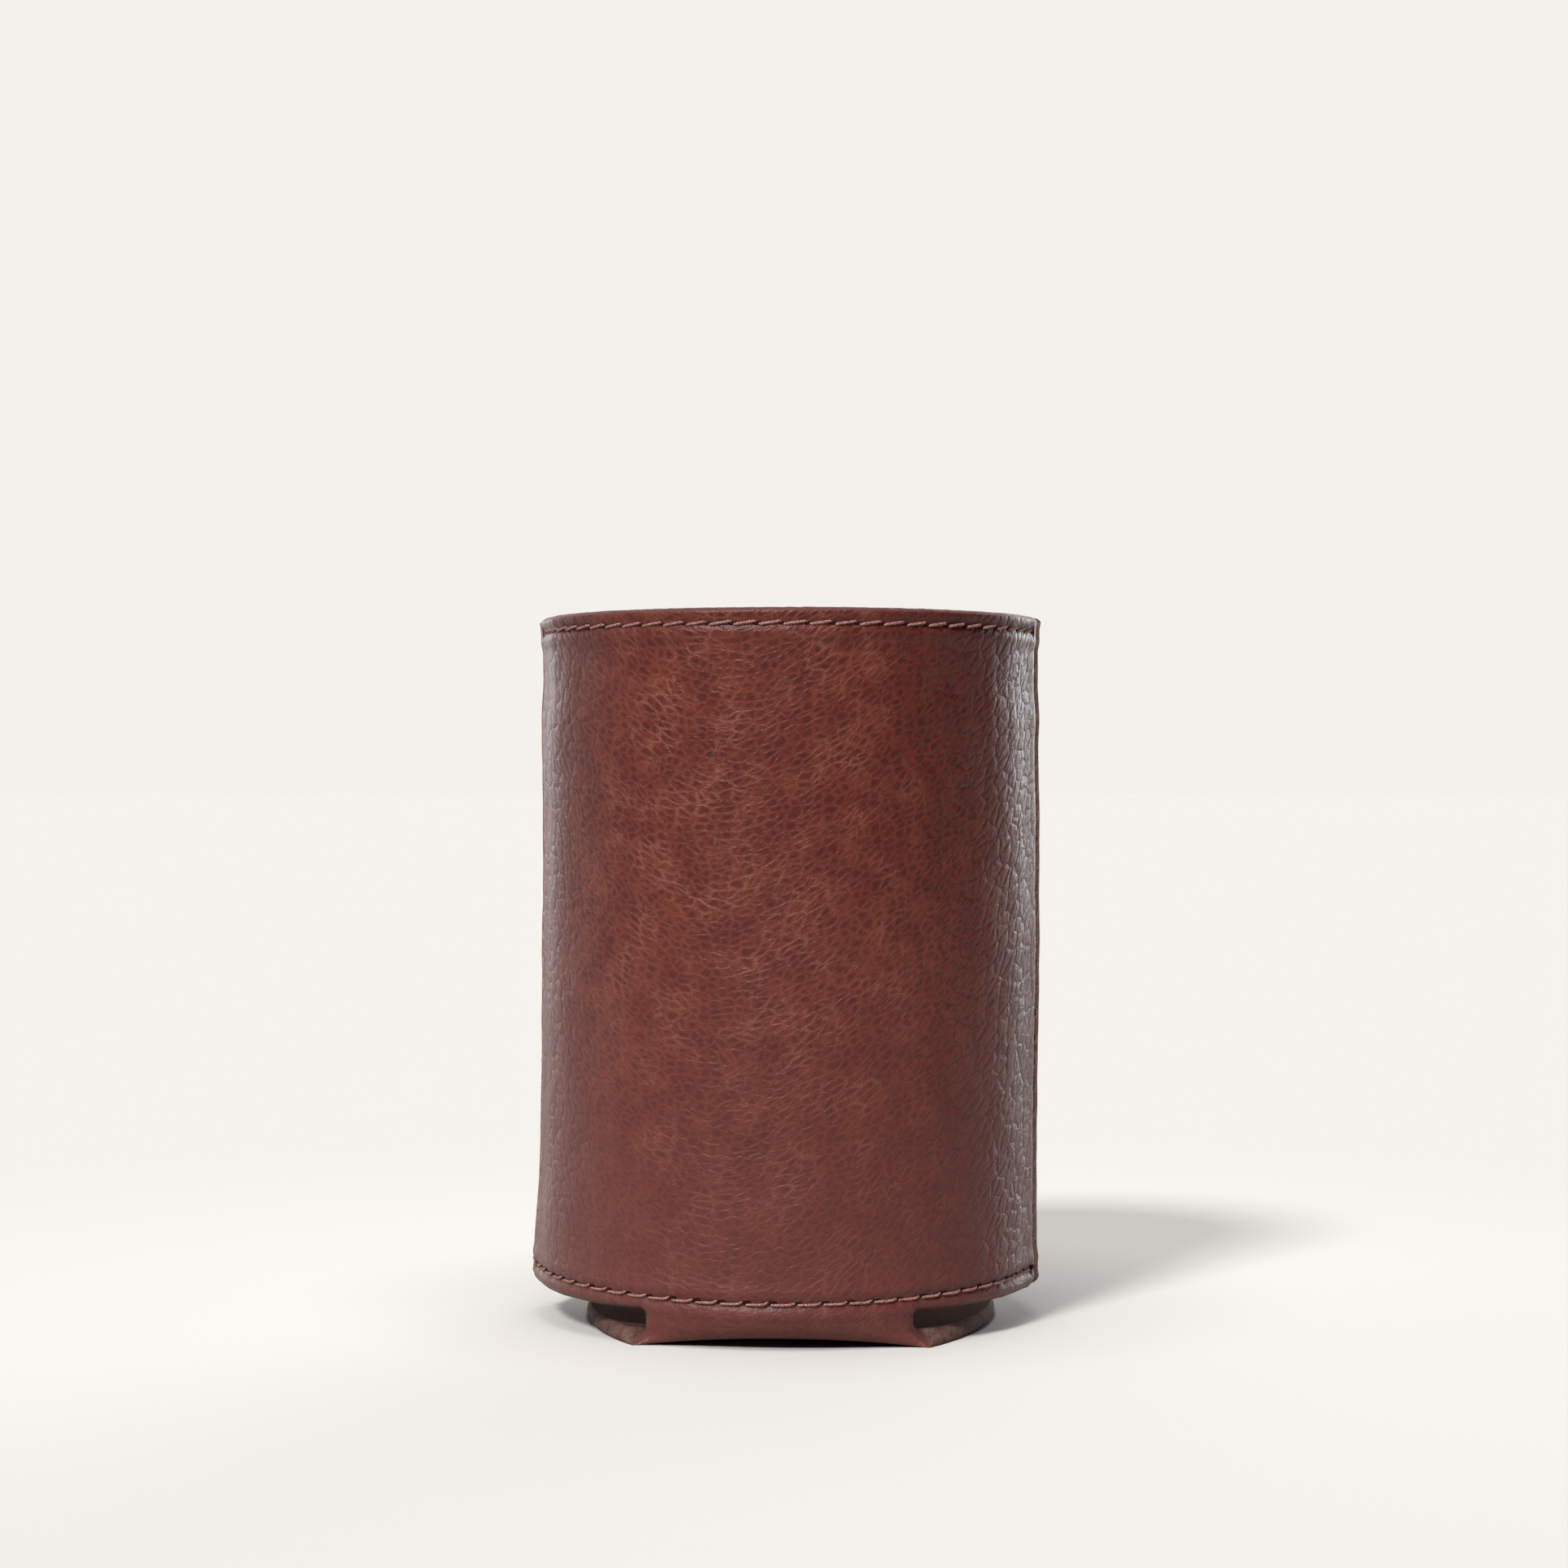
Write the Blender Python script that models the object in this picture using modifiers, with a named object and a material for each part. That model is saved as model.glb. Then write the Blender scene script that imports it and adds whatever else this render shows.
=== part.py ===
"""Leather can cooler sleeve: one folded hide, sewn up both sides, with a row of stitches along each edge.

The hide runs down the front, under the base through a narrow neck, and up the back through a second neck.
Beside the necks the panels end above the base, which leaves a slot with rounded ends on each side.
The frame has +Z up and the front facing -Y. Its origin is on the floor under the middle of the sleeve.
"""

import math

import bmesh
import bpy
from mathutils import Vector

# Overall sizes of the sleeve, in metres.
HEIGHT = 0.1037
HALF_WIDTH = 0.0360
HALF_DEPTH = 0.0360
LEATHER = 0.0022
TOP_EDGE_ROUND = 0.0006

# The wall draws in a little between its two stitched edges.
WAIST = 0.0004

# Side seams: the two panel edges roll outwards into a ridge with the seam in its valley.
SEAM_RIDGE = 0.0016
SEAM_RIDGE_REACH = 0.0048
SEAM_END_MARGIN = 0.0016

# Lower edge of the panels, the necks and the base.
HEM_HEIGHT = 0.0053
NECK_WIDTH = 0.0373
SLOT_CORNER = 0.0013
SLOT_LIFT = 0.0001
BASE_WIDTH = 0.0608
BASE_CORNER_OUTSET = 0.0014
FOLD_SETBACK = 0.0085
FOLD_FLARE = 0.0008
INNER_FOLD_SHARE = 0.25

# Stitch rows.
ROW_INSET = 0.0022
NECK_ROW_DROP = 0.0011
TOP_PITCH = 0.00367
BOTTOM_PITCH = 0.0038
SEAM_PITCH = 0.0036
ROW_END_GAP = 0.0024
STITCH_SLANT = 0.00012
STITCH_ARCH = 0.0002
STITCH_CREST = (0.3, 0.7)

# Thread and the sunken line that it lies in.
THREAD_DIAMETER = 0.00055
THREAD_CLEARANCE = 0.0003
THREAD_STANDS_PROUD = 0.0004

# Fineness of the mesh. The columns on a seam's ridge stand at shares of its reach.
PANEL_STEP = math.radians(6.0)
RIDGE_COLUMNS = (0.38, 0.68, 1.08, 1.66)
WALL_RINGS = 4
LIP_SHARES = (0.0, 0.5, 1.0)
FOLD_ANGLES = [math.radians(a) for a in (12, 28, 45, 62, 78, 90)]
CORNER_STEPS = 5
BASE_ARC_STEPS = 20
THREAD_SIDE_RESOLUTION = 1
SHARP_EDGE = math.radians(35.0)

THREAD_RADIUS = THREAD_DIAMETER / 2
GROOVE_DEPTH = THREAD_CLEARANCE + THREAD_DIAMETER - THREAD_STANDS_PROUD
GROOVE_FLOOR = THREAD_RADIUS + STITCH_SLANT
GROOVE_LIP = GROOVE_FLOOR + THREAD_CLEARANCE + GROOVE_DEPTH / 2
THREAD_LIFT = THREAD_CLEARANCE + THREAD_RADIUS
NECK_HALF = NECK_WIDTH / 2

LEATHER_COLOUR = (0.171, 0.048, 0.037, 1.0)
LEATHER_ROUGHNESS = 0.55
THREAD_COLOUR = (0.305, 0.141, 0.114, 1.0)
THREAD_ROUGHNESS = 0.7


def clear_scene():
    """Remove everything that the new file holds."""
    for old in list(bpy.data.objects):
        bpy.data.objects.remove(old)


def make_collection(name):
    """A new collection in the scene."""
    collection = bpy.data.collections.new(name)
    bpy.context.scene.collection.children.link(collection)
    return collection


def make_material(name, colour, roughness):
    """A plain material with one Principled BSDF."""
    material = bpy.data.materials.new(name)
    material.use_nodes = True
    shader = material.node_tree.nodes["Principled BSDF"]
    shader.inputs["Base Color"].default_value = colour
    shader.inputs["Roughness"].default_value = roughness
    shader.inputs["Metallic"].default_value = 0.0
    return material


def groove(distance):
    """Depth of a sunken stitch line at a distance from its middle."""
    slope = (GROOVE_LIP - abs(distance)) / (GROOVE_LIP - GROOVE_FLOOR)
    return GROOVE_DEPTH * min(1.0, max(0.0, slope))


def seam_distance(angle):
    """Distance round the wall from the nearer side seam, which lie on +X and -X."""
    from_seam = math.asin(min(1.0, abs(math.sin(angle))))
    return from_seam * HALF_WIDTH


def top_row_height(angle):
    """Height of the upper stitch row."""
    return HEIGHT - ROW_INSET


def bottom_row_height(angle):
    """Height of the lower stitch row, which dips where it crosses the necks."""
    return HEM_HEIGHT + ROW_INSET - NECK_ROW_DROP * math.sin(angle) ** 2


def wall_radius(angle, height):
    """Outer radius of the bare wall: an oval with a ridge at each seam and a slight waist."""
    oval = 1.0 / math.hypot(math.cos(angle) / HALF_WIDTH, math.sin(angle) / HALF_DEPTH)
    ridge = SEAM_RIDGE * math.exp(-((seam_distance(angle) / SEAM_RIDGE_REACH) ** 2))
    share = min(1.0, max(0.0, (height - HEM_HEIGHT) / (HEIGHT - HEM_HEIGHT)))
    return oval + ridge - WAIST * math.sin(math.pi * share)


def sewn_radius(angle, height):
    """Outer radius with the sunken lines of the stitch rows and seams."""
    depth = max(
        groove(seam_distance(angle)),
        groove(height - top_row_height(angle)),
        groove(height - bottom_row_height(angle)),
    )
    return wall_radius(angle, height) - depth


def column_angles():
    """Angles of the mesh columns: close together at the seams, even across the panels."""
    ridge_columns = [GROOVE_FLOOR, GROOVE_LIP]
    ridge_columns += [SEAM_RIDGE_REACH * share for share in RIDGE_COLUMNS]
    quarter = [distance / HALF_WIDTH for distance in ridge_columns]
    left = math.pi / 2 - quarter[-1]
    steps = max(2, round(left / PANEL_STEP))
    quarter += [quarter[-1] + left * (i + 1) / steps for i in range(steps - 1)]
    half = quarter + [math.pi / 2] + [math.pi - a for a in reversed(quarter)]
    return half + [a + math.pi for a in half]


def fold_contact(wall):
    """Where a wall point's fold meets the floor: set back in mid neck, proud at its corners."""
    if abs(wall.x) <= NECK_HALF:
        corner = corner_depth()
        middle = HALF_DEPTH - FOLD_SETBACK
        depth = middle + (corner - middle) * (wall.x / NECK_HALF) ** 2
        return Vector((wall.x, math.copysign(depth, wall.y)))
    return wall * math.hypot(NECK_HALF, corner_depth()) / math.hypot(NECK_HALF, wall_depth(NECK_HALF))


def wall_depth(x):
    """Distance of the wall's face from the middle plane at a given x."""
    return HALF_DEPTH * math.sqrt(1.0 - (x / HALF_WIDTH) ** 2)


def corner_depth():
    """Distance of the fold's corners, at the necks' edges, from the middle plane."""
    return wall_depth(NECK_HALF) + FOLD_FLARE


def wall_ring(angles, radius_of, height_of, inset):
    """One ring of wall points, at a height that may vary round the wall."""
    ring = []
    for angle in angles:
        height = height_of(angle)
        radius = radius_of(angle, height) - inset
        ring.append((radius * math.cos(angle), radius * math.sin(angle), height))
    return ring


def fold_ring(angles, turn, depth):
    """One ring of the fold that turns the wall under into the base, at a depth into the leather."""
    ring = []
    for angle in angles:
        radius = wall_radius(angle, HEM_HEIGHT)
        wall = Vector((radius * math.cos(angle), radius * math.sin(angle)))
        towards_middle = -wall.normalized()
        start = wall + towards_middle * depth
        contact = fold_contact(wall)
        setback = (contact - wall).dot(towards_middle)
        short = depth * (1.0 + INNER_FOLD_SHARE) - setback
        if depth > 0.0 and short > 0.0:
            contact = contact + towards_middle * short
        point = start.lerp(contact, 1.0 - math.cos(turn))
        height = depth + (HEM_HEIGHT - depth) * (1.0 - math.sin(turn))
        ring.append((point.x, point.y, height))
    return ring


def lip_ring(angles, share, side_inset, turned_in):
    """One ring of the rounded top edge, on its outer or its inner side."""
    turn = share * math.pi / 2
    drop = TOP_EDGE_ROUND * (1.0 - math.cos(turn))
    inset = TOP_EDGE_ROUND * (1.0 - math.sin(turn))
    return wall_ring(angles, wall_radius, lambda angle: HEIGHT - drop, side_inset + turned_in * inset)


def even_wall_heights():
    """Heights of the plain rings between the two stitch rows."""
    highest = HEIGHT - ROW_INSET - GROOVE_LIP
    lowest = HEM_HEIGHT + ROW_INSET + GROOVE_LIP
    return [highest + (lowest - highest) * (i + 1) / (WALL_RINGS + 1) for i in range(WALL_RINGS)]


def outer_rings(angles):
    """Every ring of the grain side, from the top edge down to the floor."""
    rings = [lip_ring(angles, share, 0.0, 1.0) for share in LIP_SHARES]
    row_lines = (GROOVE_LIP, GROOVE_FLOOR, -GROOVE_FLOOR, -GROOVE_LIP)
    for line in row_lines:
        rings.append(wall_ring(angles, sewn_radius, lambda angle: top_row_height(angle) + line, 0.0))
    for height in even_wall_heights():
        rings.append(wall_ring(angles, sewn_radius, lambda angle: height, 0.0))
    for line in row_lines:
        rings.append(wall_ring(angles, sewn_radius, lambda angle: bottom_row_height(angle) + line, 0.0))
    rings += [fold_ring(angles, turn, 0.0) for turn in FOLD_ANGLES]
    return rings


def inner_rings(angles):
    """Every ring of the flesh side, from the base up to the top edge."""
    rings = [fold_ring(angles, turn, LEATHER) for turn in reversed([0.0] + FOLD_ANGLES)]
    for height in reversed(even_wall_heights()):
        rings.append(wall_ring(angles, wall_radius, lambda angle: height, LEATHER))
    rings += [lip_ring(angles, share, LEATHER, -1.0) for share in reversed(LIP_SHARES)]
    return rings


def mesh_object(name, mesh, collection, material):
    """Link a mesh as a new object with its material."""
    made = bpy.data.objects.new(name, mesh)
    collection.objects.link(made)
    if material:
        mesh.materials.append(material)
    return made


def loft_hide():
    """Loft one closed skin: up the flesh side, over the top edge and down the grain side."""
    bm = bmesh.new()
    angles = column_angles()
    sections = inner_rings(angles) + outer_rings(angles)
    rings = [[bm.verts.new(point) for point in section] for section in sections]
    for first, second in zip(rings, rings[1:]):
        for i in range(len(first)):
            j = (i + 1) % len(first)
            bm.faces.new((first[i], second[i], second[j], first[j]))
    bm.faces.new(rings[0])
    bm.faces.new(rings[-1])
    bmesh.ops.recalc_face_normals(bm, faces=bm.faces)
    mesh = bpy.data.meshes.new("leather_body")
    bm.to_mesh(mesh)
    bm.free()
    return mesh


def extrude_outline(name, points, low, high):
    """A closed prism from a flat outline whose points are pairs of coordinates."""
    bm = bmesh.new()
    bottom = [bm.verts.new((a, b, low)) for a, b in points]
    face = bm.faces.new(bottom)
    raised = bmesh.ops.extrude_face_region(bm, geom=[face])
    verts = [item for item in raised["geom"] if isinstance(item, bmesh.types.BMVert)]
    bmesh.ops.translate(bm, verts=verts, vec=(0.0, 0.0, high - low))
    bmesh.ops.recalc_face_normals(bm, faces=bm.faces)
    mesh = bpy.data.meshes.new(name)
    bm.to_mesh(mesh)
    bm.free()
    return mesh


def mirror_in_x(cutter):
    """Give a cutter its twin on the other side of the sleeve."""
    mirror = cutter.modifiers.new("mirror", "MIRROR")
    mirror.use_axis[0] = True


def hide_cutter(cutter):
    """Show a cutter as wire and keep it out of renders."""
    cutter.display_type = "WIRE"
    cutter.hide_render = True


def corner_arc(centre_x, centre_z, first, last):
    """Points of a slot's rounded corner."""
    angles = [first + (last - first) * i / CORNER_STEPS for i in range(CORNER_STEPS + 1)]
    return [
        (centre_x + SLOT_CORNER * math.cos(a), centre_z + SLOT_CORNER * math.sin(a))
        for a in angles
    ]


def slot_cutter(collection):
    """Cutter for the slots: it frees the panels' lower edge from the base beside the necks."""
    reach = HALF_WIDTH + HALF_DEPTH
    low, high = LEATHER + SLOT_LIFT, HEM_HEIGHT
    inner = NECK_HALF + SLOT_CORNER
    outline = [(reach, low)]
    outline += corner_arc(inner, low + SLOT_CORNER, -math.pi / 2, -math.pi)
    outline += corner_arc(inner, high - SLOT_CORNER, math.pi, math.pi / 2)
    outline.append((reach, high))
    mesh = extrude_outline("slot_cutter", outline, -reach, reach)
    for vertex in mesh.vertices:
        x, z, y = vertex.co
        vertex.co = (x, y, z)
    mesh.flip_normals()
    cutter = mesh_object("slot_cutter", mesh, collection, None)
    mirror_in_x(cutter)
    hide_cutter(cutter)
    return cutter


def base_cutter(collection):
    """Cutter that trims the base's sides to their shallow arcs."""
    reach = HALF_WIDTH + HALF_DEPTH
    corner_x = NECK_HALF + BASE_CORNER_OUTSET
    corner_y = corner_depth()
    bulge = BASE_WIDTH / 2 - corner_x
    radius = (corner_y**2 + bulge**2) / (2 * bulge)
    half_angle = math.asin(corner_y / radius)
    centre_x = BASE_WIDTH / 2 - radius
    outline = [(reach, -reach), (corner_x, -reach)]
    for i in range(BASE_ARC_STEPS + 1):
        angle = half_angle * (2 * i / BASE_ARC_STEPS - 1)
        outline.append((centre_x + radius * math.cos(angle), radius * math.sin(angle)))
    outline += [(corner_x, reach), (reach, reach)]
    mesh = extrude_outline("base_cutter", outline, -LEATHER, LEATHER + 2 * SLOT_LIFT)
    cutter = mesh_object("base_cutter", mesh, collection, None)
    mirror_in_x(cutter)
    hide_cutter(cutter)
    return cutter


def build_hide(parts, cutters, leather):
    """The folded hide: a lofted shell, cut free of its base beside the necks."""
    hide = mesh_object("leather_body", loft_hide(), parts, leather)
    for cutter in (slot_cutter(cutters), base_cutter(cutters)):
        cut = hide.modifiers.new("cut_" + cutter.name, "BOOLEAN")
        cut.operation = "DIFFERENCE"
        cut.solver = "EXACT"
        cut.object = cutter
    hide.data.shade_smooth()
    hide.data.set_sharp_from_angle(angle=SHARP_EDGE)
    return hide


def row_point(angle, height, lift):
    """A point above the floor of a horizontal stitch line."""
    radius = wall_radius(angle, height) - GROOVE_DEPTH + THREAD_LIFT + lift
    return (radius * math.cos(angle), radius * math.sin(angle), height)


def seam_point(side, height, lift, sideways):
    """A point above the floor of a side seam's valley."""
    radius = wall_radius(0.0, height) - GROOVE_DEPTH + THREAD_LIFT + lift
    return (side * radius, sideways, height)


def stitch_marks(length, pitch):
    """Shares along a row for its thread: each stitch leaves a hole, arches over and goes down."""
    count = max(1, round(length / pitch))
    rise, fall = STITCH_CREST
    marks = []
    for k in range(count):
        marks.append((k / count, 0.0, 0.0))
        marks.append(((k + rise) / count, STITCH_ARCH, -STITCH_SLANT))
        marks.append(((k + fall) / count, STITCH_ARCH, STITCH_SLANT))
    marks.append((1.0, 0.0, 0.0))
    return marks


def thread_object(name, points, collection, material):
    """A thread as a thin closed tube through its points."""
    curve = bpy.data.curves.new(name, "CURVE")
    curve.dimensions = "3D"
    curve.bevel_depth = THREAD_RADIUS
    curve.bevel_resolution = THREAD_SIDE_RESOLUTION
    curve.use_fill_caps = True
    spline = curve.splines.new("POLY")
    spline.points.add(len(points) - 1)
    for spline_point, point in zip(spline.points, points):
        spline_point.co = (*point, 1.0)
    curve.materials.append(material)
    made = bpy.data.objects.new(name, curve)
    collection.objects.link(made)
    return made


def build_row_thread(name, first, last, height_of, pitch, collection, material):
    """The thread of one panel's horizontal row, from one seam round to the other."""
    points = []
    for share, lift, slant in stitch_marks(abs(last - first) * HALF_DEPTH, pitch):
        angle = first + (last - first) * share
        points.append(row_point(angle, height_of(angle) + slant, lift))
    return thread_object(name, points, collection, material)


def build_seam_thread(name, side, collection, material):
    """The thread that closes one side, lying in the valley between the two rolled edges."""
    low = HEM_HEIGHT + SEAM_END_MARGIN
    high = HEIGHT - SEAM_END_MARGIN
    points = []
    for share, lift, slant in stitch_marks(high - low, SEAM_PITCH):
        points.append(seam_point(side, low + (high - low) * share, lift, slant))
    return thread_object(name, points, collection, material)


def build_threads(parts, thread):
    """All six threads: one row along each edge of each panel, and one up each side."""
    end = ROW_END_GAP / HALF_WIDTH
    panels = {"front": (math.pi + end, 2 * math.pi - end), "back": (end, math.pi - end)}
    for panel, (first, last) in panels.items():
        build_row_thread(panel + "_top_thread", first, last, top_row_height, TOP_PITCH, parts, thread)
        build_row_thread(
            panel + "_bottom_thread", first, last, bottom_row_height, BOTTOM_PITCH, parts, thread
        )
    build_seam_thread("left_seam_thread", -1.0, parts, thread)
    build_seam_thread("right_seam_thread", 1.0, parts, thread)


def main():
    """Build the sleeve."""
    clear_scene()
    parts = make_collection("can_cooler_sleeve")
    cutters = make_collection("cutters")
    leather = make_material("leather", LEATHER_COLOUR, LEATHER_ROUGHNESS)
    thread = make_material("thread", THREAD_COLOUR, THREAD_ROUGHNESS)
    build_hide(parts, cutters, leather)
    build_threads(parts, thread)


main()
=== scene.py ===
"""Leather can cooler sleeve: the folded hide, its stitches and the studio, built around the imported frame.

Lengths are in metres. The front panel faces -Y, the side seams lie towards +X and -X, and +Z is up.
"""

import logging
import math
from collections.abc import Callable
from dataclasses import dataclass, field
from enum import Enum
from typing import NamedTuple

import bmesh
import bpy
import numpy as np
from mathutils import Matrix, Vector, noise


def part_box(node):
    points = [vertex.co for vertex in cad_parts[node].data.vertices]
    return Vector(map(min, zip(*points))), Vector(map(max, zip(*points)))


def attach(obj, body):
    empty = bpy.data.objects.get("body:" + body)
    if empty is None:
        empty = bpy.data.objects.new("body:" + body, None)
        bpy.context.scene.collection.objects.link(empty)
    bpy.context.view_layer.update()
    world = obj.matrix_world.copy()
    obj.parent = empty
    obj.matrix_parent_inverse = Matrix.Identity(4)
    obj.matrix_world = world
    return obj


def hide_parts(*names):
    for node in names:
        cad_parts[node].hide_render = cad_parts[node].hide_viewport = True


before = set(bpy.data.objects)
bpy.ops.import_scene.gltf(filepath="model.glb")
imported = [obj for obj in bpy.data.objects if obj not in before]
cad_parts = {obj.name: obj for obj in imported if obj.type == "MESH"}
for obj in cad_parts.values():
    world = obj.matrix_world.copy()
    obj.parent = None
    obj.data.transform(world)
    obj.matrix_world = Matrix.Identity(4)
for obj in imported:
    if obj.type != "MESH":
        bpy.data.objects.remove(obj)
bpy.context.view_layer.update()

LOG = logging.getLogger("can_cooler_sleeve")
PHOTO_SIDE = 1932
PANEL_STEP = 0.3
SPREAD_SAMPLES = 4000
TURN = 2.0 * math.pi

Triple = tuple[float, float, float]
Colour = tuple[float, float, float, float]
Span = tuple[float, float]


class Face(Enum):
    """The surfaces of the hide, in the order of its material slots."""

    GRAIN = 0
    SUEDE = 1
    RAW_EDGE = 2
    DYED_EDGE = 3
    # The seam strip's finish is painted lighter, as painted light.
    SEAM_EDGE_PAINTED_LIGHT = 4


class Side(Enum):
    """Which way a stitch row looks: out of the sleeve or into it."""

    OUTER = 1.0
    INNER = -1.0


def smooth_step(value: np.ndarray) -> np.ndarray:
    """Ease from 0 to 1 as the value goes from 0 to 1."""
    t = np.clip(value, 0.0, 1.0)
    return t * t * (3.0 - 2.0 * t)


def bell(value: np.ndarray, reach: float) -> np.ndarray:
    """A bell curve of height 1 that falls off over the reach."""
    return np.exp(-((value / reach) ** 2))


def wrap(angle: np.ndarray) -> np.ndarray:
    """An angle brought to between -pi and pi."""
    return np.angle(np.exp(1j * angle))


def spread(first: float, last: float, count: int, crowds: list[Triple]) -> np.ndarray:
    """Place points between two ends, closer together around some places.

    Args:
        first: The first value.
        last: The last value.
        count: How many steps to make.
        crowds: Places to crowd around, each as (place, reach, extra density).

    Returns:
        The values, from first to last, count + 1 of them.
    """
    fine = np.linspace(first, last, SPREAD_SAMPLES)
    density = np.ones_like(fine)
    for place, reach, extra in crowds:
        density += extra * bell(fine - place, reach)
    total = np.concatenate([[0.0], np.cumsum((density[1:] + density[:-1]) / 2.0)])
    return np.interp(np.linspace(0.0, total[-1], count + 1), total, fine)


def read_all(items: bpy.types.bpy_prop_collection, name: str, width: int, kind: type) -> np.ndarray:
    """Read one property of a mesh's items, a row for each.

    Args:
        items: The items.
        name: The property's name.
        width: How many numbers the property has.
        kind: The type of its numbers.

    Returns:
        The values, a row for each item.
    """
    values = np.empty(len(items) * width, kind)
    items.foreach_get(name, values)
    return values.reshape(-1, width)


def put(name: str, data: bpy.types.ID) -> bpy.types.Object:
    """Make an object of some data and link it to the scene.

    Args:
        name: The object's name.
        data: Its data.

    Returns:
        The object.
    """
    made = bpy.data.objects.new(name, data)
    bpy.context.scene.collection.objects.link(made)
    return made


@dataclass(frozen=True)
class Ease:
    """A soft step along the sleeve's height: an amount, the height where it starts and its reach."""

    amount: float
    start: float
    reach: float

    def at(self, height: np.ndarray) -> np.ndarray:
        """The amount at a height."""
        return self.amount * smooth_step((height - self.start) / self.reach)


@dataclass(frozen=True)
class SleeveSizes:
    """The sleeve's real sizes, as its solids have them, and the small irregularities of a sewn one."""

    height: float
    half_width: float = 0.0369
    half_depth: float = 0.0360
    leather: float = 0.0022
    waist: float = 0.0004
    right_seam: float = math.radians(-6.5)
    left_seam: float = math.radians(183.0)
    seam_ridge: float = 0.0007
    seam_reach: float = 0.0036
    hem: float = 0.0053
    neck_half: float = 0.01865
    slot_corner: float = 0.0011
    left_flare_top: float = 0.0014
    right_flare_top: float = 0.0026
    inner_flare_top: float = 0.0010
    base_half: float = 0.0298
    left_outset: float = 0.0021
    right_outset: float = 0.0025
    inner_outset: float = 0.0006
    base_arch: float = 0.0010
    arch_reach: float = 0.012
    fold_setback: float = 0.0055
    fold_squareness: float = 1.4
    fold_flare: float = 0.0008
    row_inset: float = 0.0022
    neck_row_drop: float = 0.0011
    row_end: float = 0.0020
    top_pitch: float = 0.00367
    bottom_pitch: float = 0.0038
    line_depth: float = 0.00034
    line_reach: float = 0.00062
    pucker: float = 0.40
    pillow: float = 0.00016
    pillow_away: float = 0.0016
    pillow_reach: float = 0.0008
    valley_depth: float = 0.0012
    valley_reach: float = 0.00050
    back_roll: float = 0.00042
    roll_away: float = 0.0015
    roll_reach: float = 0.0011
    side_sharpness: float = 6.0
    foot: Ease = Ease(1.0, 0.028, -0.022)
    left_foot_flare: float = 0.0009
    foot_draw: float = 0.0001
    flare_reach: float = 0.030
    right_lean: float = 0.00035
    right_foot_lean: float = 0.00040
    right_dent: float = 0.0006
    dent_height: float = 0.025
    dent_reach: float = 0.016
    right_draw: Ease = Ease(0.00030, 0.074, 0.010)
    left_draw: Ease = Ease(0.00028, 0.052, 0.018)
    top_draw: Ease = Ease(0.00030, 0.088, 0.006)
    draw_reach: float = 0.026
    top_band: Ease = Ease(0.00028, 0.0985, 0.003)
    lip: float = 0.00030
    lip_reach: float = 0.0009
    corner_drop: float = 0.0008
    top_corner_drop: float = 0.0004
    corner_reach: float = 0.0012
    seam_strip: float = 0.0011

    def seam_distance(self, angle: np.ndarray) -> np.ndarray:
        """Signed distance round the wall from the nearer side seam, positive towards the back.

        Args:
            angle: Angles round the sleeve.

        Returns:
            The distances, in metres.
        """
        right = wrap(angle - self.right_seam)
        left = -wrap(angle - self.left_seam)
        return np.where(np.abs(right) < np.abs(left), right, left) * self.half_width

    def neck_distance(self, angle: np.ndarray) -> np.ndarray:
        """Distance round the wall from the nearer neck's side, positive outside the neck."""
        from_front = np.abs(np.abs(wrap(angle)) - math.pi / 2)
        return (from_front - self.neck_reach) * self.half_width

    def hem_height(self, angle: np.ndarray) -> np.ndarray:
        """Height of the panels' lower edge, which curves down into the necks.

        Args:
            angle: Angles round the sleeve.

        Returns:
            The heights.
        """
        into = np.clip(self.slot_corner - self.neck_distance(angle), 0.0, self.slot_corner)
        curve = self.hem - self.slot_corner + np.sqrt(self.slot_corner**2 - into**2)
        return curve + self.corner_drop * bell(self.seam_distance(angle), self.corner_reach)

    def top_row(self, angle: np.ndarray) -> np.ndarray:
        """Height of the upper stitch row."""
        return np.full_like(angle, self.height - self.row_inset)

    def bottom_row(self, angle: np.ndarray) -> np.ndarray:
        """Height of the lower stitch row, which dips where it crosses the necks."""
        return self.hem + self.row_inset - self.neck_row_drop * np.sin(angle) ** 2

    def row_span(self, front: bool) -> Span:
        """First and last angle of a panel's stitch rows.

        Args:
            front: Whether the rows are on the front panel.

        Returns:
            The two angles, the second beyond the first.
        """
        end = self.row_end / self.half_width
        if front:
            return self.left_seam + end, self.right_seam + TURN - end
        return self.right_seam + end, self.left_seam - end

    def stitch_count(self, front: bool, pitch: float) -> int:
        """How many stitches a panel's row has."""
        first, last = self.row_span(front)
        return round((last - first) * self.half_width / pitch)

    def pull(self, angle: np.ndarray, pitch: float) -> np.ndarray:
        """How strongly a row pulls the leather in: 1 at its needle holes, less between them.

        Args:
            angle: Angles round the sleeve.
            pitch: How far apart its stitches are.

        Returns:
            The strength at each angle, 0 outside the row.
        """
        strength = np.zeros_like(angle)
        for front in (True, False):
            first, last = self.row_span(front)
            share = np.mod(angle - first, TURN) / (last - first)
            wave = np.cos(TURN * share * self.stitch_count(front, pitch))
            strength = np.where(share <= 1.0, 1.0 - self.pucker * (0.5 - 0.5 * wave), strength)
        return strength

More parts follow.
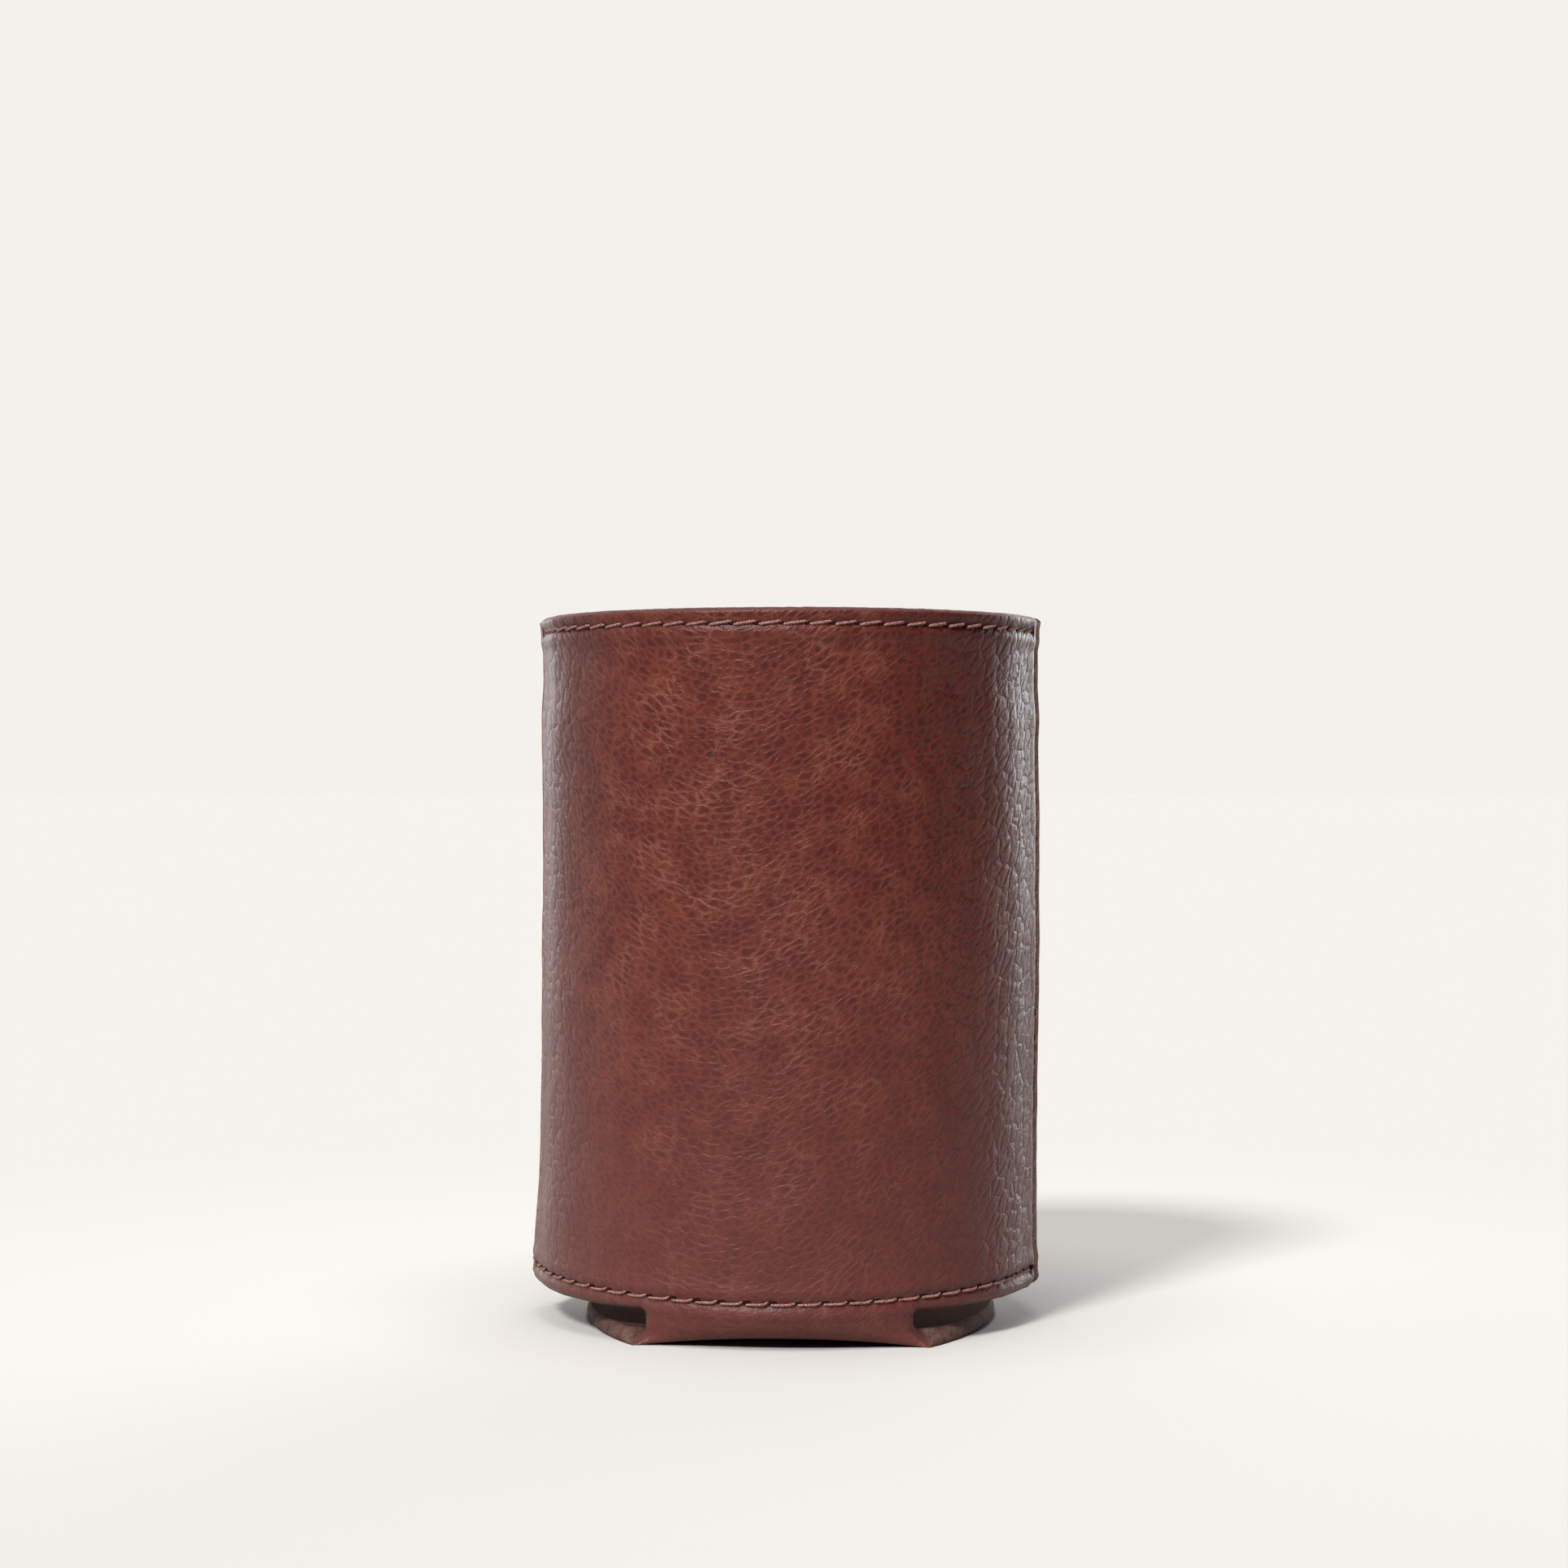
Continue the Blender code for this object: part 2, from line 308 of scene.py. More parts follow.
    def stitch_lines(self, angle: np.ndarray, height: np.ndarray) -> np.ndarray:
        """How far the sunken stitch lines lower the surface.

        Args:
            angle: Angles round the sleeve.
            height: Heights above the floor, in the same shape.

        Returns:
            The depths, negative where the leather swells.
        """
        sunk = np.zeros_like(height)
        rows = ((self.top_row(angle), self.top_pitch), (self.bottom_row(angle), self.bottom_pitch))
        for row, pitch in rows:
            away = height - row
            sunk += self.line_depth * bell(away, self.line_reach) * self.pull(angle, pitch)
            sunk -= self.pillow * bell(np.abs(away) - self.pillow_away, self.pillow_reach)
        return sunk

    def bare_radius(self, angle: np.ndarray, height: np.ndarray) -> np.ndarray:
        """Outer radius of the plain wall, with its seam ridges, waist and handmade unevenness.

        Args:
            angle: Angles round the sleeve.
            height: Heights above the floor, in the same shape.

        Returns:
            The radii.
        """
        oval = 1.0 / np.hypot(np.cos(angle) / self.half_width, np.sin(angle) / self.half_depth)
        seam = self.seam_distance(angle)
        ridge = self.seam_ridge * bell(seam, self.seam_reach)
        share = np.clip((height - self.hem) / (self.height - self.hem), 0.0, 1.0)
        left = 0.5 - 0.5 * np.tanh(self.side_sharpness * np.cos(angle))
        foot = self.foot.at(height)
        flare = (self.left_foot_flare * left - self.foot_draw) * foot * bell(seam, self.flare_reach)
        dent = self.right_dent * bell(height - self.dent_height, self.dent_reach)
        right = dent + self.right_lean + self.right_foot_lean * foot + self.right_draw.at(height)
        drawn = right * (1.0 - left) + self.left_draw.at(height) * left + self.top_draw.at(height)
        drawn = drawn * bell(seam, self.draw_reach) + self.waist * np.sin(math.pi * share)
        return oval + ridge + flare + self.top_band.at(height) - drawn

    def sewn_radius(self, angle: np.ndarray, height: np.ndarray) -> np.ndarray:
        """Outer radius with the stitch lines, the seam valleys and their rolled edges.

        Args:
            angle: Angles round the sleeve.
            height: Heights above the floor, in the same shape.

        Returns:
            The radii.
        """
        seam = self.seam_distance(angle)
        valley = self.valley_depth * bell(seam, self.valley_reach)
        rolls = self.back_roll * bell(seam - self.roll_away, self.roll_reach)
        above = np.clip(height - self.hem_height(angle), 0.0, None)
        from_cut = np.hypot(np.clip(-self.neck_distance(angle), 0.0, None), above)
        lip = self.lip * np.clip(1.0 - from_cut / self.lip_reach, 0.0, 1.0) ** 2
        return self.bare_radius(angle, height) + rolls - valley - lip - self.stitch_lines(angle, height)

    def wall_depth(self, x: float) -> float:
        """Distance of the wall's face from the middle plane at a given x."""
        return self.half_depth * math.sqrt(1.0 - (x / self.half_width) ** 2)

    @property
    def neck_reach(self) -> float:
        """Half the angle that a neck takes of the wall."""
        return math.asin(self.neck_half / self.half_depth)

    @property
    def corner_depth(self) -> float:
        """Distance of the fold's corners from the middle plane."""
        return self.wall_depth(self.neck_half) + self.fold_flare

    def base_corner(self, x: np.ndarray, depth: float) -> np.ndarray:
        """Half the base's width at its corners, on the side of x and at a depth in the leather."""
        outset = np.where(x < 0.0, self.left_outset, self.right_outset)
        return self.neck_half + np.where(depth > 0.0, self.inner_outset, outset)

    def base_radius(self, x: np.ndarray, depth: float) -> np.ndarray:
        """Radius of the base's side arc."""
        bulge = self.base_half - self.base_corner(x, depth)
        return (self.corner_depth**2 + bulge**2) / (2.0 * bulge)

    def base_edge(self, x: np.ndarray, y: np.ndarray, depth: float) -> np.ndarray:
        """Half the base's width at a given y, along the side arc on the side of x."""
        radius = self.base_radius(x, depth)
        return self.base_half - radius + np.sqrt(radius**2 - np.minimum(np.abs(y), radius) ** 2)

    def arch(self, x: np.ndarray, across: np.ndarray, depth: float) -> np.ndarray:
        """How far the base's front edge lifts off the floor at x, for a point that started across."""
        return self.base_arch * np.clip(1.0 - (x / self.base_corner(across, depth)) ** 2, 0.0, 1.0)


class HideMesh:
    """Collects vertices and faces of the hide as grids of points."""

    def __init__(self) -> None:
        """Start with nothing."""
        self.points: list[np.ndarray] = []
        self.faces: list[np.ndarray] = []
        self.kinds: list[np.ndarray] = []
        self.count = 0

    def add_points(self, points: np.ndarray) -> np.ndarray:
        """Add a grid of points.

        Args:
            points: An array whose last axis holds x, y and z.

        Returns:
            The points' numbers, in the grid's shape.
        """
        flat = points.reshape(-1, 3)
        numbers = np.arange(self.count, self.count + len(flat)).reshape(points.shape[:-1])
        self.points.append(flat)
        self.count += len(flat)
        return numbers

    def add_grid(self, grid: np.ndarray, kinds: Face | np.ndarray, closed: bool = False) -> None:
        """Add the quads between the rows and columns of a grid of point numbers.

        Args:
            grid: Point numbers, rows by columns.
            kinds: The surface that the quads belong to, for all of them or for each column.
            closed: Whether the last column joins the first.
        """
        right = np.roll(grid, -1, axis=1) if closed else grid[:, 1:]
        left = grid if closed else grid[:, :-1]
        quads = np.stack([left[:-1], left[1:], right[1:], right[:-1]], axis=-1)
        values = kinds.value if isinstance(kinds, Face) else kinds
        self.faces.append(quads.reshape(-1, 4))
        self.kinds.append(np.broadcast_to(values, quads.shape[:2]).ravel())

    def all_points(self) -> np.ndarray:
        """Every point so far."""
        return np.concatenate(self.points)

    def to_mesh(self, name: str) -> bpy.types.Mesh:
        """Make the mesh, with its faces turned outwards.

        Args:
            name: The mesh's name.

        Returns:
            The finished mesh, smooth shaded, with a material index for each face.
        """
        mesh = bpy.data.meshes.new(name)
        faces = np.concatenate(self.faces)
        mesh.from_pydata(self.all_points().tolist(), [], faces.tolist())
        mesh.polygons.foreach_set("material_index", np.concatenate(self.kinds).astype(np.int32))
        tidy = bmesh.new()
        tidy.from_mesh(mesh)
        bmesh.ops.remove_doubles(tidy, verts=tidy.verts, dist=1e-6)
        bmesh.ops.recalc_face_normals(tidy, faces=tidy.faces)
        tidy.to_mesh(mesh)
        tidy.free()
        mesh.shade_smooth()
        return mesh


@dataclass(frozen=True)
class Layer:
    """The point numbers of one side of the sheet: its wall, its two necks and its base."""

    wall: np.ndarray
    front: np.ndarray
    back: np.ndarray
    base: np.ndarray


@dataclass
class FoldedHide:
    """The hide: wall, necks and base as one folded sheet with its two slots."""

    sizes: SleeveSizes
    neck_columns: int = 62
    side_columns: int = 146
    outer_rows: int = 150
    inner_rows: int = 34
    fold_rows: int = 16
    base_rows: int = 64
    edge_steps: int = 6
    edge_round: float = 0.0005
    edge_rough: float = 0.00007
    edge_rough_scale: float = 900.0
    uneven: float = 0.00016
    uneven_scales: Span = (95.0, 260.0)
    seam_crowd: float = 0.0022
    corner_crowd: float = 0.0011
    neck_density: float = 3.0
    seam_density: float = 3.0
    side_density: float = 4.0
    neck_slack: float = 1.01
    low_row_drop: float = 0.0004
    high_crowd: Span = (0.0013, 2.2)
    low_crowd: Span = (0.0016, 2.2)
    hem_ease: float = 0.0050
    top_ease: float = 0.0030
    flare_curve: float = 1.8
    inner_turn: float = 1.25
    base_top: float = 0.003
    base_reach: float = 0.030

    def columns(self) -> np.ndarray:
        """Angles of the mesh columns, starting at the front neck's left edge.

        Returns:
            The angles, once round.
        """
        s = self.sizes
        reach = s.neck_reach
        crowd, corner = self.seam_crowd / s.half_width, self.corner_crowd / s.half_width
        half = self.side_columns // 2
        parts = []
        for front in (-math.pi / 2, math.pi / 2):
            start, first, last = front - reach, front + reach, front + math.pi - reach
            seam = s.right_seam if front < 0 else s.left_seam
            at_neck = [(place, corner, self.neck_density) for place in (first, start)]
            at_seam = (seam, crowd, self.seam_density)
            runs = (
                (start, first, self.neck_columns, at_neck),
                (first, seam, half, [at_seam, (first, corner, self.side_density)]),
                (seam, last, self.side_columns - half, [at_seam, (last, corner, self.side_density)]),
            )
            parts += [spread(*run)[:-1] for run in runs]
        return np.concatenate(parts)

    def wall_kinds(self, angles: np.ndarray, kind: Face) -> np.ndarray:
        """The surface of each wall column: at a seam, the back panel shows a strip of its cut edge, whose
        finish is painted lighter as painted light.

        Args:
            angles: Angles of the columns.
            kind: The surface that the columns belong to.

        Returns:
            The number of each column's surface.
        """
        nexts = np.append(angles[1:], angles[0] + TURN)
        seam = self.sizes.seam_distance((angles + nexts) / 2.0)
        strip = (seam > 0.0) & (seam < self.sizes.seam_strip) & (kind is Face.GRAIN)
        return np.where(strip, Face.SEAM_EDGE_PAINTED_LIGHT.value, kind.value)

    def uneven_at(self, points: np.ndarray) -> np.ndarray:
        """Slow unevenness of the leather at each point.

        Args:
            points: The points, a row for each.

        Returns:
            How far each point moves out.
        """
        slow, fast = self.uneven_scales
        values = [noise.noise(Vector(p) * slow) + 0.5 * noise.noise(Vector(p) * fast) for p in points]
        return np.array(values) * self.uneven

    def contact(self, wall: np.ndarray) -> np.ndarray:
        """Where each wall point's fold meets the floor: set back in mid neck, proud at its corners.

        Args:
            wall: Points of the wall's face, as x and y.

        Returns:
            The places on the floor, as x and y.
        """
        s = self.sizes
        inside = np.abs(wall[..., 0]) <= s.neck_half * self.neck_slack
        middle = s.half_depth - s.fold_setback
        depth = middle + (s.corner_depth - middle) * (wall[..., 0] / s.neck_half) ** 2
        neck = np.stack([wall[..., 0], np.copysign(depth, wall[..., 1])], axis=-1)
        proud = math.hypot(s.neck_half, s.corner_depth)
        scale = proud / math.hypot(s.neck_half, s.wall_depth(s.neck_half))
        return np.where(inside[..., None], neck, wall * scale)

    def sheet_point(self, angles: np.ndarray, heights: np.ndarray, depth: float) -> np.ndarray:
        """Points of the wall and, below the hem, of the fold.

        Args:
            angles: Angles round the sleeve.
            heights: Heights on the grain side, in the same shape.
            depth: How deep into the leather the points lie: 0 on the grain side.

        Returns:
            The points, with x, y and z on the last axis.
        """
        s = self.sizes
        radius = s.sewn_radius(angles, heights) if depth == 0.0 else s.bare_radius(angles, heights)
        towards = np.stack([np.cos(angles), np.sin(angles)], axis=-1)
        wall = towards * radius[..., None]
        setback = ((wall - self.contact(wall)) * towards).sum(-1)
        under = np.clip(1.0 - heights / s.hem, 0.0, 1.0)
        short = np.clip(depth * self.inner_turn - setback, 0.0, None) if depth > 0.0 else 0.0
        start = wall - towards * depth
        end = self.contact(wall) - towards * np.asarray(short)[..., None]
        fold = (1.0 - np.cos(np.arcsin(under))) ** s.fold_squareness
        flat = start + (end - start) * fold[..., None]
        return np.concatenate([flat, (heights + depth * under)[..., None]], axis=-1)

    def neck_edge(self, side: np.ndarray, x: np.ndarray, heights: np.ndarray, depth: float) -> np.ndarray:
        """Half the neck's width at a height: it starts at the wall's corners and flares into the base.

        Args:
            side: Half the width of the wall's lower edge there.
            x: Where the points are across the sleeve.
            heights: Heights above the floor.
            depth: How deep into the leather this side lies.

        Returns:
            Half the width.
        """
        s = self.sizes
        top = np.where(x < 0.0, s.left_flare_top, s.right_flare_top)
        top = s.inner_flare_top if depth > 0.0 else top
        flare = np.clip(1.0 - (heights - depth) / top, 0.0, 1.0) ** self.flare_curve
        return side + (s.base_corner(x, depth) - side) * flare

    def wall_points(self, angles: np.ndarray, rows: int, depth: float) -> np.ndarray:
        """Points of the wall, from the top edge to the panels' lower edge.

        Args:
            angles: Angles of the columns.
            rows: How many rows the wall has.
            depth: How deep into the leather this side lies.

        Returns:
            The points, rows by columns.
        """
        s = self.sizes
        high_row, low_row = s.height - s.row_inset, s.hem + s.row_inset - self.low_row_drop
        crowds = [(high_row, *self.high_crowd), (low_row, *self.low_crowd)]
        levels = spread(s.height - self.edge_round, s.hem, rows, crowds)[:, None]
        low = smooth_step((s.hem + self.hem_ease - levels) / self.hem_ease)
        high = smooth_step((levels - s.height + self.top_ease) / self.top_ease)
        drop = s.top_corner_drop * bell(s.seam_distance(angles), s.corner_reach)
        heights = levels + (s.hem_height(angles) - s.hem) * low - drop * high
        points = self.sheet_point(np.broadcast_to(angles, heights.shape), heights, depth)
        flat = points.reshape(-1, 3)
        out = flat[:, :2] / np.linalg.norm(flat[:, :2], axis=1, keepdims=True)
        flat[:, :2] += out * self.uneven_at(flat)[:, None]
        return points

    def neck_points(self, angles: np.ndarray, top: np.ndarray, depth: float) -> np.ndarray:
        """Points of one neck, from below the panel's lower edge to the floor.

        Args:
            angles: Angles of the neck's columns.
            top: The wall's points that the neck hangs from.
            depth: How deep into the leather this side lies.

        Returns:
            The points, rows by columns.
        """
        s = self.sizes
        turns = np.linspace(math.asin(s.slot_corner / s.hem), math.pi / 2, self.fold_rows + 1)
        low = np.broadcast_to(s.hem * (1.0 - np.sin(turns[1:, None])), (self.fold_rows, len(angles)))
        neck = self.sheet_point(np.broadcast_to(angles, low.shape), low, depth)
        across = top[:, 0]
        side = np.where(across < 0.0, -np.min(across), np.max(across))
        neck[..., 0] = across * self.neck_edge(side, across, neck[:, :1, 2], depth) / side
        drift = top[:, 1] - self.sheet_point(angles, s.hem_height(angles), depth)[:, 1]
        neck[..., 1] += drift * np.linspace(1.0, 0.0, self.fold_rows + 1)[1:, None]
        near = np.clip(1.0 - (neck[..., 2] - depth) / s.hem, 0.0, 1.0)
        neck[..., 2] += s.arch(neck[..., 0], across, depth) * near
        return neck

    def base_points(self, front: np.ndarray, back: np.ndarray, depth: float) -> np.ndarray:
        """Points of the base between its two folds.

        Args:
            front: Points of the front fold.
            back: Points of the back fold, in the same order.
            depth: How deep into the leather this side lies.

        Returns:
            The points, rows by columns.
        """
        s = self.sizes
        share = np.linspace(0.0, 1.0, self.base_rows + 1)[1:-1, None, None]
        base = front * (1.0 - share) + back * share
        across = front[:, 0]
        side = np.where(across < 0.0, -across[0], across[-1])
        base[..., 0] = across / side * s.base_edge(across, base[:, :1, 1], depth)
        near = smooth_step((np.abs(base[..., 1]) - np.abs(front[0, 1]) + s.arch_reach) / s.arch_reach)
        base[..., 2] = depth + s.arch(base[..., 0], across, depth) * near
        return base

    def build_layer(self, mesh: HideMesh, angles: np.ndarray, rows: int, depth: float, kind: Face) -> Layer:
        """Add one side of the sheet: the wall, the two necks and the base.

        Args:
            mesh: Where the points and faces go.
            angles: Angles of the columns.
            rows: How many rows the wall has.
            depth: How deep into the leather this side lies.
            kind: The surface that it is.

        Returns:
            The point numbers.
        """
        points = self.wall_points(angles, rows, depth)
        wall = mesh.add_points(points)
        mesh.add_grid(wall, self.wall_kinds(angles, kind), closed=True)
        necks, lines = [], []
        for first in (0, self.neck_columns + self.side_columns):
            picked = np.arange(first, first + self.neck_columns + 1) % len(angles)
            neck = self.neck_points(angles[picked], points[-1, picked], depth)
            numbers = np.concatenate([wall[-1:, picked], mesh.add_points(neck)])
            mesh.add_grid(numbers, kind)
            necks.append(numbers)
            lines.append(neck[-1])
        front, back = necks
        middle = mesh.add_points(self.base_points(lines[0], lines[1][::-1], depth))
        base = np.concatenate([front[-1:], middle, back[-1:, ::-1]])
        mesh.add_grid(base, kind)
        return Layer(wall, front, back, base)

    def slot_loop(self, layer: Layer, right: bool) -> np.ndarray:
        """Point numbers round one slot: the panels' lower edge, the necks' sides and the base's side.

        Args:
            layer: The point numbers of one side of the sheet.
            right: Whether it is the right slot.

        Returns:
            The numbers, in order.
        """
        n, m = self.neck_columns, self.side_columns
        hem, front, back, base = layer.wall[-1], layer.front, layer.back, layer.base
        if right:
            return np.concatenate([hem[n : n + m + 1], back[1:, 0], base[-2:0:-1, -1], front[:0:-1, -1]])
        return np.concatenate([hem[2 * n + m :], hem[:1], front[1:, 0], base[1:-1, 0], back[:0:-1, -1]])

    def add_edge(
        self, mesh: HideMesh, outer: np.ndarray, inner: np.ndarray, out: np.ndarray, kinds: Face | np.ndarray
    ) -> None:
        """Close one boundary with a softly rounded cut edge.

        Args:
            mesh: Where the points and faces go.
            outer: Point numbers of the boundary on the grain side, in order.
            inner: The same points on the flesh side.
            out: The direction out of the sheet at each point.
            kinds: The surface of the edge, for all of it or for each point.
        """
        points = mesh.all_points()
        rows = [outer]
        for step in range(1, self.edge_steps):
            share = step / self.edge_steps
            swell = self.edge_round * (1.0 - abs(2.0 * share - 1.0) ** 3.0)
            middle = points[outer] * (1.0 - share) + points[inner] * share
            rough = np.array([noise.noise(Vector(p) * self.edge_rough_scale) for p in middle])
            rows.append(mesh.add_points(middle + out * (swell + rough * self.edge_rough)[:, None]))
        rows.append(inner)
        mesh.add_grid(np.array(rows), kinds, closed=True)

    def edge_directions(self, points: np.ndarray, right: bool) -> np.ndarray:
        """Directions out of the sheet round a slot, eased at its corners.

        Args:
            points: The slot's points on the grain side, in order.
            right: Whether it is the right slot.

        Returns:
            A direction of length 1 for each point.
        """
        s = self.sizes
        side = 1.0 if right else -1.0
        hem_count = self.side_columns + 1
        out = np.zeros_like(points)
        angles = np.arctan2(points[:hem_count, 1], points[:hem_count, 0])
        into = np.clip(1.0 - s.neck_distance(angles) / s.slot_corner, 0.0, 1.0)
        out[:hem_count, 0] = side * into
        out[:hem_count, 2] = -np.sqrt(1.0 - into**2)
        out[hem_count:, 0] = side
        base = slice(hem_count + self.fold_rows, -self.fold_rows)
        radius = float(s.base_radius(np.array(side), 0.0))
        out[base, 0] = side * (np.abs(points[base, 0]) - s.base_half + radius)
        out[base, 1] = points[base, 1]
        out /= np.linalg.norm(out, axis=1, keepdims=True)
        eased = sum(np.roll(out, shift, axis=0) for shift in range(-2, 3))
        return eased / np.linalg.norm(eased, axis=1, keepdims=True)

    def build(self, finishes: list[bpy.types.Material]) -> bpy.types.Object:
        """Build the hide's mesh and give each surface its finish.

        Args:
            finishes: The material of each surface, in the order of Face.

        Returns:
            The hide as an object.
        """
        mesh = HideMesh()
        angles = self.columns()
        grain = self.build_layer(mesh, angles, self.outer_rows, 0.0, Face.GRAIN)
        suede = self.build_layer(mesh, angles, self.inner_rows, self.sizes.leather, Face.SUEDE)
        up = np.tile([0.0, 0.0, 1.0], (len(angles), 1))
        self.add_edge(mesh, grain.wall[0], suede.wall[0], up, Face.DYED_EDGE)
        for right in (True, False):
            outer, inner = self.slot_loop(grain, right), self.slot_loop(suede, right)
            out = self.edge_directions(mesh.all_points()[outer], right)
            kinds = np.full(len(outer), Face.DYED_EDGE.value)
            kinds[self.side_columns + self.fold_rows - 2 : 2 - self.fold_rows] = Face.RAW_EDGE.value
            self.add_edge(mesh, outer, inner, out, kinds)
        made = mesh.to_mesh("folded_hide")
        for finish in finishes:
            made.materials.append(finish)
        self.map_panels(made)
        return put("folded_hide", made)

    def map_panels(self, mesh: bpy.types.Mesh) -> None:
        """Lay each panel flat in a UV map, in metres, so that the grain follows the hide.

        Args:
            mesh: The hide's mesh, which gets the map.
        """
        s = self.sizes
        points = read_all(mesh.vertices, "co", 3, np.float32).astype(float)
        corners = read_all(mesh.loops, "vertex_index", 1, np.int32).ravel()
        x, y, z = read_all(mesh.polygons, "center", 3, np.float32).astype(float).T
        totals = read_all(mesh.polygons, "loop_total", 1, np.int32).ravel()
        turned = np.mod(np.arctan2(y, x) - s.right_seam, TURN)
        back = np.repeat(turned < s.left_seam - s.right_seam, totals)
        base = np.repeat((z < self.base_top) & (np.hypot(x, y) < self.base_reach), totals)
        spots = points[corners]
        middle = np.where(back, math.pi / 2, -math.pi / 2)
        angle = np.arctan2(spots[:, 1], spots[:, 0])
        u = wrap(angle - middle) * s.half_depth + np.where(back, PANEL_STEP, 0.0)
        u = np.where(base, spots[:, 0] + 2.0 * PANEL_STEP, u)
        v = np.where(base, spots[:, 1], spots[:, 2])
        layer = mesh.uv_layers.new(name="hide")
        layer.data.foreach_set("uv", np.stack([u, v], axis=1).astype(np.float32).ravel())


class Wire:
    """A node's output, on which sums are written as plain arithmetic."""

    def __init__(self, graph: "NodeGraph", socket: bpy.types.NodeSocket) -> None:
        """Keep the graph and the socket."""
        self.graph = graph
        self.socket = socket

    def __add__(self, other: "Value") -> "Wire":
        """The sum."""
        return self.graph.math("ADD", self, other)

    def __sub__(self, other: "Value") -> "Wire":
        """The difference."""
        return self.graph.math("SUBTRACT", self, other)

    def __rsub__(self, other: float) -> "Wire":
        """What this leaves of a number."""
        return self.graph.math("SUBTRACT", other, self)

    def __mul__(self, other: "Value") -> "Wire":
        """The product."""
        return self.graph.math("MULTIPLY", self, other)

    def __pow__(self, other: float) -> "Wire":
        """The power."""
        return self.graph.math("POWER", self, other)

    def __abs__(self) -> "Wire":
        """The absolute value."""
        return self.graph.math("ABSOLUTE", self)


Value = Wire | float


class NodeGraph:
    """A short way to write nodes and their links."""

    def __init__(self, tree: bpy.types.NodeTree) -> None:
        """Keep the tree that the nodes go into."""
        self.nodes = tree.nodes
        self.links = tree.links

    def set(self, node: bpy.types.Node, inputs: dict) -> None:
        """Give a node's inputs their values or wires.

        Args:
            node: The node.
            inputs: Its inputs, by name or number.
        """
        for key, value in inputs.items():
            if isinstance(value, Wire):
                self.links.new(value.socket, node.inputs[key])
            else:
                node.inputs[key].default_value = value

    def add(
        self, kind: str, inputs: dict | None = None, output: int | str = 0, **settings: str | bool
    ) -> Wire:
        """Add a node.

        Args:
            kind: The node's type.
            inputs: Values or wires for its inputs, by name or number.
            output: The output to hand over, by name or number.
            **settings: Properties to set on the node first.

        Returns:
            That output.
        """
        node = self.nodes.new(kind)
        for key, value in settings.items():
            setattr(node, key, value)
        self.set(node, inputs or {})
        return Wire(self, node.outputs[output])

    def math(self, operation: str, *values: Value, clamp: bool = False) -> Wire:
        """A Math node on values or wires."""
        return self.add("ShaderNodeMath", dict(enumerate(values)), operation=operation, use_clamp=clamp)

    def vector_math(self, operation: str, inputs: dict, output: int | str = 0) -> Wire:
        """A Vector Math node."""
        return self.add("ShaderNodeVectorMath", inputs, output, operation=operation)

    def vector(self, *parts: Value) -> Wire:
        """A vector made of its parts."""
        return self.add("ShaderNodeCombineXYZ", dict(enumerate(parts)))

    def step(self, value: Wire, low: float, high: float, top: float = 1.0) -> Wire:
        """Ease from 0 to the top as a value goes from low to high."""
        inputs = {"Value": value, "From Min": low, "From Max": high, "To Max": top}
        return self.add("ShaderNodeMapRange", inputs, interpolation_type="SMOOTHSTEP")


class ShaderTree(NodeGraph):
    """A material's nodes, with the object's own coordinates as the place."""

    def __init__(self, name: str) -> None:
        """Start a material with its output, its main shader and the object's own coordinates.

        Args:
            name: The material's name.
        """
        self.material = bpy.data.materials.new(name)
        self.material.use_nodes = True
        super().__init__(self.material.node_tree)
        self.shader = self.nodes["Principled BSDF"]
        self.place = self.add("ShaderNodeTexCoord", output="Object")

    def split(self, vector: Wire) -> list[Wire]:
        """The x, y and z of a vector.

        Args:
            vector: The vector.

        Returns:
            The three parts.
        """
        node = self.nodes.new("ShaderNodeSeparateXYZ")
        self.set(node, {0: vector})
        return [Wire(self, socket) for socket in node.outputs]

    def between(self, share: Wire, span: Span) -> Wire:
        """Go from the first to the last value of a span as the share goes from 0 to 1."""
        return share * (span[1] - span[0]) + span[0]

    def dome(self, value: Wire, reach: float) -> Wire:
        """Rise from 0 to 1 over a reach, steep at first and flat at the top."""
        short = 1.0 - self.math("MULTIPLY", value, 1.0 / reach, clamp=True)
        return 1.0 - short * short

    def noise(self, vector: Wire, scale: float, detail: float, output: str = "Fac") -> Wire:
        """A noise value, or its colour, on coordinates."""
        return self.add("ShaderNodeTexNoise", {"Vector": vector, "Scale": scale, "Detail": detail}, output)

    def mix(self, share: Value, first: Wire | Colour, second: Wire | Colour) -> Wire:
        """Mix two colours."""
        return self.add("ShaderNodeMix", {0: share, 6: first, 7: second}, 2, data_type="RGBA")

    def stretch(self, vector: Wire, scale: Triple) -> Wire:
        """Scale coordinates along each axis."""
        return self.add("ShaderNodeMapping", {"Vector": vector, "Scale": scale})

    def finish(
        self, colour: Wire, roughness: Value, gloss: float, height: Wire, depth: float
    ) -> bpy.types.Material:
        """Set the main shader and hand over the material.

        Args:
            colour: The base colour.
            roughness: The roughness.
            gloss: The specular level.
            height: The bump's height.
            depth: The bump's full depth in metres.

        Returns:
            The material.
        """
        normal = self.add("ShaderNodeBump", {"Height": height, "Distance": depth, "Strength": 1.0})
        looks = {"Base Color": colour, "Roughness": roughness, "Specular IOR Level": gloss}
        self.set(self.shader, {**looks, "Normal": normal})
        return self.material


@dataclass(frozen=True)
class GrainMaps:
    """What the grain's colour and its relief share: its cells, its fine folds and the sleeve's zones."""

    large: Wire
    medium: Wire
    small: Wire
    flat: Wire
    fibres: Wire
    side: Wire
    middle: Wire
    wall: Wire
    height: Wire


